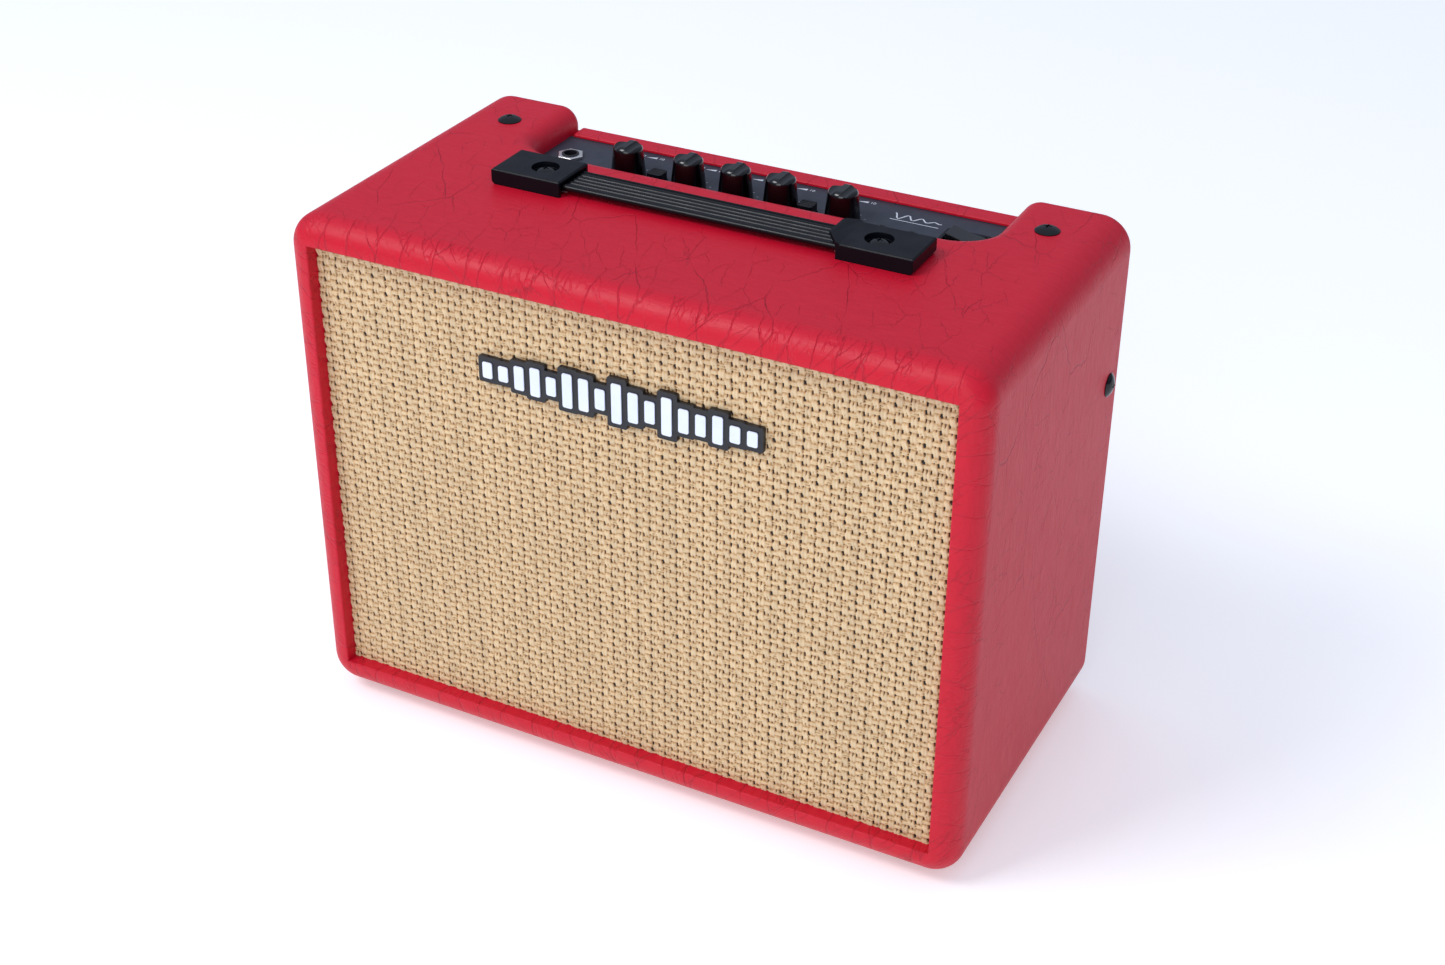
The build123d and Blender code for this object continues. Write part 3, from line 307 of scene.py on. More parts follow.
@dataclass(frozen=True)
class EmbossedVinyl:
    """PVC vinyl on a cloth backing, calender-embossed like hide and stretched round the boards.

    It shows as a satin red with long hairline creases, a fine grain drawn out round the girth,
    and short wrinkles where it turns over the front edges. The creases, folds and fine lines
    are also darkened towards a deep red in the colour, which is painted shade. Crease widths
    are drawn a little wider than the real ones, so that they show.
    """

    name: str = "embossed_vinyl"
    colour: str = "CC0A2A"
    shade: str = "B90523"
    # Deep red mixed into the creases, folds and fine lines: painted shade.
    painted_crease_shade: str = "56000F"
    crease_cell_mm: float = 30.0
    crease_width_mm: float = 0.38
    crease_warp_mm: tuple[float, float] = (3.5, 3.0)  # on the top, and down the sides
    crease_patch_mm: float = 40.0
    crease_low: float = 0.42
    fine_cell_mm: float = 11.0
    fine_width_mm: float = 0.32
    fine_warp_mm: float = 3.0
    fine_patch_mm: float = 18.0
    fine_low: float = 0.41
    wrinkle_mm: float = 13.0
    wrinkle_width_mm: float = 0.6
    crinkle_mm: float = 3.6
    crinkle_width_mm: float = 0.55
    crinkle_patch_mm: float = 12.0
    crinkle_low: float = 0.46
    fold_warp: float = 0.22  # of the distance between folds
    fold_stretch: float = 0.26
    side_fold: float = 0.6  # strength of the folds on the upright edges
    grain_mm: float = 1.4
    pebble_mm: float = 1.0
    swell_mm: float = 30.0
    slant: float = 0.3
    top_stretch: float = 0.5
    wall_stretch: tuple[float, float] = (0.42, 1.1)
    wall_band: tuple[float, float] = (0.018, 0.004)
    relief_mm: float = 0.5
    relief: tuple[float, ...] = (0.34, -0.05, -0.42, -0.3, -0.45, -0.45)
    tint: tuple[float, float, float] = (0.3, 0.22, 0.24)  # shares of painted shade darkening the creases, folds and fine lines
    roughness: float = 0.46
    specular: float = 0.32
    rounding: float = 0.0118

    def math(self, tree: Tree, operation: str, *parts: Socket | float) -> Socket:
        """Returns the result of one sum on sockets or plain numbers."""
        values = {i: part for i, part in enumerate(parts) if not isinstance(part, Socket)}
        links = {i: part for i, part in enumerate(parts) if isinstance(part, Socket)}
        return add_node(tree, "Math", values, links, operation=operation).outputs[0]

    def plane(self, tree: Tree, across: Socket, along: Socket) -> Socket:
        """Returns flat coordinates from two lengths in metres."""
        return add_node(tree, "CombineXYZ", links={"X": across, "Y": along}).outputs[0]

    def ridges(
        self, tree: Tree, vector: Socket, cell_mm: float, width_mm: float, warp_mm: float
    ) -> Socket:
        """Draws a net of thin, slightly bent lines on flat coordinates.

        Args:
            tree: Node tree of the material.
            vector: Flat coordinates in metres.
            cell_mm: Size of the net's cells.
            width_mm: Width of its lines.
            warp_mm: How far the lines wander.

        Returns:
            A socket that is 1 on the lines and 0 between them.
        """
        wander = add_node(
            tree,
            "TexNoise",
            {"Scale": 1.6 / (cell_mm * MM), "Detail": 3.0, "Roughness": 0.6},
            {"Vector": vector},
            noise_dimensions="2D",
        )
        centred = add_node(
            tree,
            "VectorMath",
            {1: (0.5, 0.5, 0.5)},
            {0: wander.outputs["Color"]},
            operation="SUBTRACT",
        )
        shifted = add_node(
            tree,
            "VectorMath",
            {"Scale": 2 * warp_mm * MM},
            {0: centred.outputs[0]},
            operation="SCALE",
        )
        moved = add_node(tree, "VectorMath", links={0: vector, 1: shifted.outputs[0]}, operation="ADD")
        cells = add_node(
            tree,
            "TexVoronoi",
            {"Scale": 1 / (cell_mm * MM)},
            {"Vector": moved.outputs[0]},
            feature="DISTANCE_TO_EDGE",
            voronoi_dimensions="2D",
        )
        return add_node(
            tree,
            "MapRange",
            {"From Min": 0.0, "From Max": width_mm / cell_mm, "To Min": 1.0, "To Max": 0.0},
            {"Value": cells.outputs["Distance"]},
            interpolation_type="SMOOTHSTEP",
        ).outputs["Result"]

    def faded(self, tree: Tree, vector: Socket, lines: Socket, patch_mm: float, low: float) -> Socket:
        """Fades lines in and out in patches.

        Args:
            tree: Node tree of the material.
            vector: Coordinates in metres.
            lines: Socket of the lines.
            patch_mm: Size of the patches.
            low: Noise value under which the lines are gone.

        Returns:
            A socket of the faded lines.
        """
        patches = add_node(
            tree, "TexNoise", {"Scale": 1 / (patch_mm * MM), "Detail": 2.0}, {"Vector": vector}
        )
        mask = self.near(tree, patches.outputs["Fac"], low, low + 0.2)
        return self.math(tree, "MULTIPLY", lines, mask)

    def near(self, tree: Tree, value: Socket, inside: float, outside: float) -> Socket:
        """Returns a mask that goes from 0 at inside to 1 at outside."""
        return add_node(
            tree,
            "MapRange",
            {"From Min": inside, "From Max": outside},
            {"Value": value},
            interpolation_type="SMOOTHSTEP",
        ).outputs["Result"]

    def front_folds(
        self,
        tree: Tree,
        axes: dict,
        outward: Socket,
        edge: tuple[float, float],
        cell_mm: float,
        width_mm: float,
    ) -> Socket:
        """Draws folds that stand across the front edges, and nowhere else.

        Args:
            tree: Node tree of the material.
            axes: Sockets of the X, Y and Z coordinates.
            outward: Socket of the distance from the middle of the width.
            edge: Place of the front plane and of the side plane.
            cell_mm: Distance between folds.
            width_mm: Width of a fold.

        Returns:
            A socket that is 1 on the folds.
        """
        front, side = edge
        warp_mm = self.fold_warp * cell_mm
        over = self.math(
            tree, "MULTIPLY", self.math(tree, "ADD", axes["Y"], axes["Z"]), self.fold_stretch
        )
        round_side = self.math(
            tree, "MULTIPLY", self.math(tree, "ADD", axes["Y"], outward), self.fold_stretch
        )
        level = self.ridges(tree, self.plane(tree, axes["X"], over), cell_mm, width_mm, warp_mm)
        upright = self.ridges(tree, self.plane(tree, axes["Z"], round_side), cell_mm, width_mm, warp_mm)
        at_side = self.near(tree, outward, side - 1.3 * self.rounding, side - 0.9 * self.rounding)
        upright = self.math(
            tree, "MULTIPLY", upright, self.math(tree, "MULTIPLY", at_side, self.side_fold)
        )
        level = self.math(tree, "MULTIPLY", level, self.math(tree, "SUBTRACT", 1.0, at_side))
        at_front = self.near(
            tree, axes["Y"], front + 1.15 * self.rounding, front + 0.75 * self.rounding
        )
        return self.math(tree, "MULTIPLY", self.math(tree, "ADD", level, upright), at_front)

    def material(self) -> bpy.types.Material:
        """Returns the covering as a node material."""
        material, tree, shader = start_material(self.name)
        low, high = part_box("cabinet_covering")
        front, side, top = low.y, high.x, high.z
        place = add_node(tree, "TexCoord").outputs["Object"]
        axes = add_node(tree, "SeparateXYZ", links={0: place}).outputs
        outward = self.math(tree, "ABSOLUTE", axes["X"])
        # The girth runs from the middle of the top over the edge and down each side.
        fallen = self.math(tree, "SUBTRACT", top, axes["Z"])
        girth = self.math(
            tree, "MULTIPLY", self.math(tree, "ADD", outward, fallen), self.math(tree, "SIGN", axes["X"])
        )
        slant = self.math(tree, "ADD", girth, self.math(tree, "MULTIPLY", axes["Y"], self.slant))
        sheet = self.plane(tree, slant, self.math(tree, "MULTIPLY", axes["Y"], self.top_stretch))
        across, along = self.wall_stretch
        down = self.plane(
            tree,
            self.math(tree, "MULTIPLY", slant, across),
            self.math(tree, "MULTIPLY", axes["Y"], along),
        )
        at_wall = self.near(tree, outward, side - self.wall_band[0], side - self.wall_band[1])
        on_top, on_wall = (
            self.ridges(tree, flat, self.crease_cell_mm, self.crease_width_mm, warp_mm)
            for flat, warp_mm in zip((sheet, down), self.crease_warp_mm)
        )
        net = self.math(
            tree,
            "ADD",
            self.math(tree, "MULTIPLY", on_top, self.math(tree, "SUBTRACT", 1.0, at_wall)),
            self.math(tree, "MULTIPLY", on_wall, at_wall),
        )
        creases = self.faded(tree, place, net, self.crease_patch_mm, self.crease_low)
        hairs = self.ridges(tree, sheet, self.fine_cell_mm, self.fine_width_mm, self.fine_warp_mm)
        fine = self.faded(tree, place, hairs, self.fine_patch_mm, self.fine_low)
        edge = (front, side)
        folded = self.front_folds(tree, axes, outward, edge, self.wrinkle_mm, self.wrinkle_width_mm)
        crinkles = self.front_folds(tree, axes, outward, edge, self.crinkle_mm, self.crinkle_width_mm)
        crinkled = self.faded(tree, place, crinkles, self.crinkle_patch_mm, self.crinkle_low)
        # Fine grain drawn out round the girth, with the pebble of the embossing roll over it.
        drawn = add_node(tree, "VectorMath", {1: Axis.GIRTH.value}, {0: place}, operation="MULTIPLY")
        grain = add_node(
            tree,
            "TexNoise",
            {"Scale": 1 / (self.grain_mm * MM), "Detail": 3.0, "Roughness": 0.6, "Distortion": 0.5},
            {"Vector": drawn.outputs[0]},
        ).outputs["Fac"]
        pebble = add_node(
            tree, "TexVoronoi", {"Scale": 1 / (self.pebble_mm * MM)}, {"Vector": place}, feature="F1"
        ).outputs["Distance"]
        height: Socket = add_node(
            tree, "TexNoise", {"Scale": 1 / (self.swell_mm * MM), "Detail": 2.0}, {"Vector": place}
        ).outputs["Fac"]
        for part, weight in zip((grain, pebble, creases, fine, folded, crinkled), self.relief):
            height = self.math(tree, "ADD", height, self.math(tree, "MULTIPLY", part, weight))
        bump = add_node(
            tree, "Bump", {"Strength": 1.0, "Distance": self.relief_mm * MM}, {"Height": height}
        )
        body = add_node(
            tree,
            "Mix",
            {"A": linear(self.colour), "B": linear(self.shade)},
            {"Factor": grain},
            data_type="RGBA",
        )
        # Painted shade: the creases, folds and fine lines darken the red towards a deep red.
        dark, folds, hair = (
            self.math(tree, "MULTIPLY", part, share)
            for part, share in zip((creases, folded, fine), self.tint)
        )
        crease_shade = self.math(tree, "ADD", dark, self.math(tree, "ADD", folds, hair))
        crease_shaded = add_node(
            tree,
            "Mix",
            {"B": linear(self.painted_crease_shade)},
            {"Factor": crease_shade, "A": body.outputs["Result"]},
            data_type="RGBA",
        )
        gloss = add_node(
            tree,
            "MapRange",
            {"To Min": self.roughness - 0.06, "To Max": self.roughness + 0.08},
            {"Value": grain},
        )
        tree.links.new(crease_shaded.outputs["Result"], shader.inputs["Base Color"])
        tree.links.new(gloss.outputs["Result"], shader.inputs["Roughness"])
        tree.links.new(bump.outputs["Normal"], shader.inputs["Normal"])
        shader.inputs["IOR"].default_value = 1.5
        shader.inputs["Specular IOR Level"].default_value = self.specular
        return material


@dataclass(frozen=True)
class WovenWheat:
    """Paper-cane grille yarn, varnished and woven in pairs.

    The yarns are coloured by height: cream on their crowns, then tan and dark brown down their
    flanks, which is painted shade, and near black in the gaps between them, which stands for the
    black baffle seen through them and for painted shade.
    """

    name: str = "woven_paper_cane"
    # The crown is the yarn's own colour; the flank colours are painted shade, and the gap colour is the
    # black baffle behind together with painted shade.
    crown: str = "D9C09A"
    shaded_flank: str = "AD814F"
    gap: str = "060505"
    roughness: float = 0.5
    fibre_mm: float = 0.5

    def material(self) -> bpy.types.Material:
        """Returns the grille cloth as a node material."""
        material, tree, shader = start_material(self.name)
        place = add_node(tree, "TexCoord").outputs["Object"]
        weave = add_node(tree, "Attribute", attribute_name="weave")
        parts = add_node(tree, "SeparateColor", links={0: weave.outputs["Color"]}).outputs
        fibre = add_node(
            tree,
            "TexNoise",
            {"Scale": 1 / (self.fibre_mm * MM), "Detail": 3.0, "Roughness": 0.6},
            {"Vector": place},
        )
        shade = add_node(
            tree,
            "ValToRGB",
            links={0: parts["Red"]},
        )
        # Ramp by height: painted shade, darker the deeper a point lies in the weave.
        ramp = shade.color_ramp
        ramp.elements[0].position, ramp.elements[0].color = 0.0, linear(self.gap)
        ramp.elements[1].position, ramp.elements[1].color = 1.0, linear(self.crown)
        for position, code in ((0.2, self.gap), (0.33, "6E4A27"), (0.5, self.shaded_flank), (0.74, "CBAA7E")):
            ramp.elements.new(position).color = linear(code)
        strand = add_node(
            tree,
            "MapRange",
            {"To Min": 0.84, "To Max": 1.12},
            {"Value": parts["Green"]},
        )
        fleck = add_node(
            tree,
            "MapRange",
            {"From Min": 0.3, "From Max": 0.7, "To Min": 0.9, "To Max": 1.08},
            {"Value": fibre.outputs["Fac"]},
        )
        bright = add_node(
            tree,
            "Math",
            links={0: strand.outputs["Result"], 1: fleck.outputs["Result"]},
            operation="MULTIPLY",
        )
        dyed = add_node(
            tree,
            "VectorMath",
            links={0: shade.outputs["Color"], "Scale": bright.outputs[0]},
            operation="SCALE",
        )
        bump = add_node(
            tree, "Bump", {"Strength": 0.5, "Distance": 0.05 * MM}, {"Height": fibre.outputs["Fac"]}
        )
        tree.links.new(dyed.outputs[0], shader.inputs["Base Color"])
        tree.links.new(bump.outputs["Normal"], shader.inputs["Normal"])
        shader.inputs["Roughness"].default_value = self.roughness
        return material


FINISHES: dict[Slot, Finish | EmbossedVinyl | WovenWheat] = {
    Slot.COVERING: EmbossedVinyl(),
    # Raw medium-density board: matt, brown, with pressed fibres.
    Slot.BOARD: Finish("raw_fibreboard", "A98358", "8F6C45", 0.85, grain_mm=1.2, grain_depth_mm=0.05),
    # Black emulsion brushed over birch plywood: matt, with the grain just showing.
    Slot.BAFFLE: Finish("blackened_plywood", "0C0B0A", "050505", 0.8, grain_mm=1.5, along=Axis.ALONG_X),
    Slot.CLOTH: WovenWheat(),
    # Moulded ABS, semi-gloss black.
    Slot.BADGE: Finish("moulded_abs_black", "10131C", "090B11", 0.38, grain_mm=0.8),
    # Satin hot-stamped foil on the raised bars: bluish white.
    Slot.BADGE_WHITE: Finish("hot_stamped_white", "E6ECFA", "D2DAEE", 0.4, grain_mm=0.8),
    # Glass-filled nylon, spark-eroded texture: blue-black with a soft sheen.
    Slot.BLACK_PLASTIC: Finish(
        "textured_nylon", "0A0C14", "06070D", 0.38, specular=0.15, grain_mm=0.45, grain_depth_mm=0.02
    ),
    # Polished ABS: black, with sharp reflections and faint rub marks.
    Slot.GLOSS_BLACK: Finish(
        "polished_abs", "030306", "020203", 0.16, grain_depth_mm=0.004, grain_mm=1.5
    ),
    # Black oxide and lacquer on steel screws: glossy, slightly uneven.
    Slot.BLACK_STEEL: Finish(
        "lacquered_steel", "030304", "020203", 0.14, specular=0.36, grain_depth_mm=0.004
    ),
    # Powder coat over folded steel: fine orange peel, bluish charcoal.
    Slot.PANEL: Finish(
        "powder_coated_steel", "30343F", "292D38", 0.45, specular=0.34, grain_mm=0.7, grain_depth_mm=0.02
    ),
    # Galvanised sheet and turned steel: grey metal with drawn streaks.
    Slot.STEEL: Finish("galvanised_steel", "B9BABD", "9A9CA0", 0.36, metallic=1.0, along=Axis.ALONG_X),
    # Nickel plate on turned brass: pale silver, satin.
    Slot.NICKEL: Finish("nickel_plate", "E4E2DE", "D2CFCA", 0.3, metallic=1.0, grain_mm=0.4),
    # Solder mask over glass-epoxy laminate: green, semi-gloss.
    Slot.CIRCUIT: Finish("solder_mask", "0D4A26", "0A3B1E", 0.35, grain_mm=0.9),
    # Moulded phenolic and epoxy bodies: dull black.
    Slot.COMPONENT: Finish("moulded_phenolic", "14141A", "0C0C10", 0.5, grain_mm=0.5),
    # Pressed paper pulp, black: matt and fibrous.
    Slot.CONE: Finish("pressed_paper", "17171A", "0E0E10", 0.9, grain_mm=0.9, grain_depth_mm=0.06),
    # Butyl rubber roll: matt black.
    Slot.SURROUND: Finish("butyl_rubber", "121214", "0B0B0D", 0.7, grain_mm=0.8),
    # Sintered ferrite: dark grey and gritty.
    Slot.MAGNET: Finish("sintered_ferrite", "2B2B2E", "1E1E21", 0.75, grain_mm=0.4, grain_depth_mm=0.03),
    # Moulded rubber: matt black with a slight bloom.
    Slot.RUBBER: Finish("moulded_rubber", "111318", "090A0E", 0.5, grain_mm=0.7, grain_depth_mm=0.02),
    # PVC wire insulation: red, semi-gloss.
    Slot.WIRE: Finish("pvc_insulation", "8A1212", "6E0C0C", 0.4, grain_mm=0.8),
}


# Soft PVC extruded over a steel core: blue-black with a satin shine on its ribs.
STRAP_FINISH = Finish("extruded_soft_pvc", "04050A", "020307", 0.3, specular=0.24, grain_mm=0.9)


@dataclass
class Dresser:
    """Holds one material for each slot of the record, and gives them to nodes and pieces."""

    materials: dict[Slot, bpy.types.Material] = field(default_factory=dict)

    def material(self, slot: Slot) -> bpy.types.Material:
        """Returns the material of a slot, made on first use."""
        if slot not in self.materials:
            self.materials[slot] = FINISHES[slot].material()
        return self.materials[slot]

    def dress(self, piece: bpy.types.Object, slot: Slot) -> None:
        """Gives a piece a slot's material."""
        piece.data.materials.clear()
        piece.data.materials.append(self.material(slot))

    def dress_nodes(self, frame: dict) -> None:
        """Gives every CAD node the material of its slot in the record.
        """
        for part in frame["record"]["subparts"]:
            node = frame["nodes"][part["node"]]
            node.data.materials.clear()
            node.data.materials.append(self.material(Slot(part["material_slot"])))


# ---- Sub-assemblies -------------------------------------------------------------------------


@dataclass
class GrilleCloth:
    """The woven grille: pairs of cane warps floating over pairs of wefts, as a relief.

    One repeat is two warp pairs wide and two weft bundles high.
    """

    repeat_width: float = 6.7 * MM
    repeat_height: float = 7.7 * MM
    columns: int = 16
    rows: int = 14
    warp_places: tuple[float, ...] = (0.13, 0.345, 0.645, 0.87)
    warp_half: float = 0.112
    weft_places: tuple[float, ...] = (-0.062, 0.062, 0.438, 0.562)
    weft_half: float = 0.066
    warp_radius: float = 0.42 * MM
    weft_radius: float = 0.36 * MM
    crimp: float = 0.30 * MM
    floor: float = -0.62 * MM
    lean: float = 0.055
    wander: float = 0.018
    waves: tuple[float, ...] = (0.31, 0.83, 1.7)  # per repeat
    weft_turns: tuple[float, float] = (0.757, 0.237)  # where each weft pair is at its highest
    plump: float = 0.12  # how much warps widen between crossings
    flatness: float = 2.0
    uneven: float = 0.12  # spread of tint from repeat to repeat

    def crossing(self, phase: np.ndarray) -> np.ndarray:
        """Returns the flattened rise and fall of a yarn, from -1 to 1, for a phase in turns."""
        return np.tanh(self.flatness * np.cos(2 * np.pi * phase)) / math.tanh(self.flatness)

    def roam(self, along: np.ndarray, which: np.ndarray, draw: np.random.Generator) -> np.ndarray:
        """Moves yarns sideways a little, each in its own slow waves.

        Args:
            along: Place along each yarn, in repeats.
            which: Whole number of each yarn, the same shape.
            draw: Source of random numbers.

        Returns:
            Sideways shifts in repeats.
        """
        count = int(which.max()) + 2
        shift = np.zeros_like(along)
        for rate in self.waves:
            phases = draw.uniform(0, 2 * np.pi, count)
            shift += self.wander / 1.7 * np.sin(2 * np.pi * rate * along + phases[which])
        return shift

    def relief(self, u: np.ndarray, v: np.ndarray) -> tuple[np.ndarray, np.ndarray]:
        """Works out the height of the weave and a tint for each yarn.

        Args:
            u: Places across, in repeats.
            v: Places up, in repeats.

        Returns:
            Heights in metres above the middle of the cloth, and tints from 0 to 1.
        """
        draw = np.random.default_rng(SEED)
        top = np.full_like(u, self.floor)
        tint = np.full_like(u, 0.5)
        column, row = np.floor(u).astype(int) + 1, np.floor(v).astype(int) + 1
        for number, place in enumerate(self.warp_places):
            paired = number < 2
            offset = u - place
            yarn = np.round(offset).astype(int) + 1
            bend = -self.lean * np.sin(2 * np.pi * (v + 0.02)) if paired else 0.2 * self.lean
            wide = 1 + self.plump * np.sin(4 * np.pi * v + number)
            gap = offset - np.round(offset) - bend - self.roam(v, yarn, draw)
            share = np.clip(1 - (gap / (self.warp_half * wide)) ** 2, 0, 1)
            rise = self.crimp * self.crossing(v if paired else v + 0.5)
            height = np.where(share > 0, rise + self.warp_radius * np.sqrt(share), self.floor)
            colour = draw.uniform(0.2, 0.8, int(yarn.max()) + 2)[yarn]
            tint = np.where(height > top, colour, tint)
            top = np.maximum(top, height)
        for number, place in enumerate(self.weft_places):
            paired = number < 2
            offset = v - place
            yarn = np.round(offset).astype(int) + 1
            gap = offset - np.round(offset) - self.roam(u, yarn, draw) * 0.8
            share = np.clip(1 - (gap / self.weft_half) ** 2, 0, 1)
            middle = self.weft_turns[0] if paired else self.weft_turns[1]
            rise = self.crimp * self.crossing(u - middle)
            height = np.where(share > 0, rise + self.weft_radius * np.sqrt(share), self.floor)
            colour = draw.uniform(0.35, 1.0, int(yarn.max()) + 2)[yarn]
            tint = np.where(height > top, colour, tint)
            top = np.maximum(top, height)
        uneven = draw.uniform(-self.uneven, self.uneven, (int(row.max()) + 2, int(column.max()) + 2))
        return top, np.clip(tint + uneven[row, column], 0, 1)

    def build(self, dresser: Dresser) -> None:
        """Makes the cloth over the front opening.

        Args:
            dresser: Source of its material.
        """
        low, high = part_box("grille_cloth")
        across = np.arange(low.x, high.x, self.repeat_width / self.columns)
        up = np.arange(low.z, high.z, self.repeat_height / self.rows)
        across, up = np.append(across, high.x), np.append(up, high.z)
        x, z = np.meshgrid(across, up)
        top, tint = self.relief((x - low.x) / self.repeat_width, (z - low.z) / self.repeat_height)
        crown = self.crimp + self.warp_radius
        y = low.y + crown - top
        mesh = grid_mesh("grille_weave", np.stack([x, y, z], axis=-1))
        # Height in the relief, passed on for painted shade: the material darkens the yarns the lower
        # they lie.
        shade = np.clip((top - self.floor) / (crown - self.floor), 0, 1)
        weave = np.stack([shade, tint, np.zeros_like(tint), np.ones_like(tint)], axis=-1)
        attribute = mesh.attributes.new("weave", "FLOAT_COLOR", "POINT")
        attribute.data.foreach_set("color", weave.astype(np.float32).ravel())
        cloth = make_object("grille_weave", mesh)
        dresser.dress(cloth, Slot.CLOTH)
        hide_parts("grille_cloth")
        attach(cloth, "root")


@dataclass
class Strap:
    """The moulded strap: fine ribs between two rounded beads, one piece from cap to cap."""

    reach: float = 71 * MM
    stations: int = 72
    ribs: int = 5
    bead: float = 1.7 * MM
    groove: float = 1.3 * MM
    rib_drop: float = 0.3 * MM  # of the ribs below the tops of the beads
    rib_power: float = 0.45  # the lower, the flatter the ribs and the narrower the grooves
    steps: int = 12

    def outline(self, low: Vector, high: Vector) -> Profile:
        """Draws the strap's section, round from its underside.

        Args:
            low: Lowest corner of the strap.
            high: Highest corner of the strap.

        Returns:
            Points as (y, z).
        """
        tall = high.z - low.z
        half = tall / 2
        inner = high.y - low.y - 2 * self.bead
        points: Profile = []
        for step in range(self.steps + 1):
            turn = math.radians(-90 - 180 * step / self.steps)
            points.append(
                (low.y + self.bead + self.bead * math.cos(turn), low.z + half + half * math.sin(turn))
            )
        for step in range(1, self.ribs * self.steps):
            share = step / (self.ribs * self.steps)
            crest = abs(math.sin(math.pi * share * self.ribs)) ** self.rib_power
            points.append(
                (low.y + self.bead + inner * share, high.z - self.rib_drop - self.groove * (1 - crest))
            )
        for step in range(self.steps + 1):
            turn = math.radians(90 - 180 * step / self.steps)
            points.append(
                (high.y - self.bead + self.bead * math.cos(turn), low.z + half + half * math.sin(turn))
            )
        return points

    def build(self) -> None:
        """Makes the strap as one piece in place of its two halves."""
        low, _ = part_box("strap_left")
        _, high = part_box("strap_right")
        section = np.array(self.outline(low, high))
        along = np.linspace(-self.reach, self.reach, self.stations + 1)
        rings = np.empty((len(along), len(section), 3))
        rings[:, :, 0] = along[:, None]
        rings[:, :, 1:] = section[None]
        mesh = grid_mesh("handle_strap", rings, wrap=True)
        shell = bmesh.new()
        shell.from_mesh(mesh)
        bmesh.ops.holes_fill(shell, edges=[edge for edge in shell.edges if edge.is_boundary], sides=0)
        bmesh.ops.recalc_face_normals(shell, faces=shell.faces)
        shell.to_mesh(mesh)
        shell.free()
        strap = make_object("handle_strap", mesh)
        strap.data.materials.append(STRAP_FINISH.material())
        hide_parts("strap_left", "strap_right")
        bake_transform(strap)
        log.info("handle_strap: %d faces", len(mesh.polygons))


@dataclass
class SoftEdged:
    """A hard piece whose sharp moulded edges are rounded by a small real radius."""

    node: str
    slot: Slot
    radius: float = 0.3 * MM
    sharp: float = 32.0
    segments: int = 3

    def build(self, dresser: Dresser, frame: dict) -> bpy.types.Object:
        """Makes the rounded piece in place of its node.

        Args:
            dresser: Source of its material.

        Returns:
            The new piece.
        """
        source = frame["nodes"][self.node]
        shell = bmesh.new()
        shell.from_mesh(source.data)
        bmesh.ops.remove_doubles(shell, verts=shell.verts, dist=1e-6)
        bmesh.ops.dissolve_limit(
            shell, angle_limit=math.radians(1.0), verts=shell.verts, edges=shell.edges
        )
        edges = [
            edge
            for edge in shell.edges
            if len(edge.link_faces) == 2 and edge.calc_face_angle(0) > math.radians(self.sharp)
        ]
        bmesh.ops.bevel(
            shell,
            geom=edges,
            offset=self.radius,
            segments=self.segments,
            profile=0.5,
            affect="EDGES",
            clamp_overlap=True,
        )
        mesh = bpy.data.meshes.new(f"{self.node}_finished")
        shell.to_mesh(mesh)
        shell.free()
        piece = make_object(f"{self.node}_finished", mesh)
        weighted = piece.modifiers.new("weighted", "WEIGHTED_NORMAL")
        weighted.keep_sharp = True
        freeze(piece)
        dresser.dress(piece, self.slot)
        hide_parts(self.node)
        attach(piece, source["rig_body"])
        log.info("%s: %d faces", piece.name, len(piece.data.polygons))
        return piece


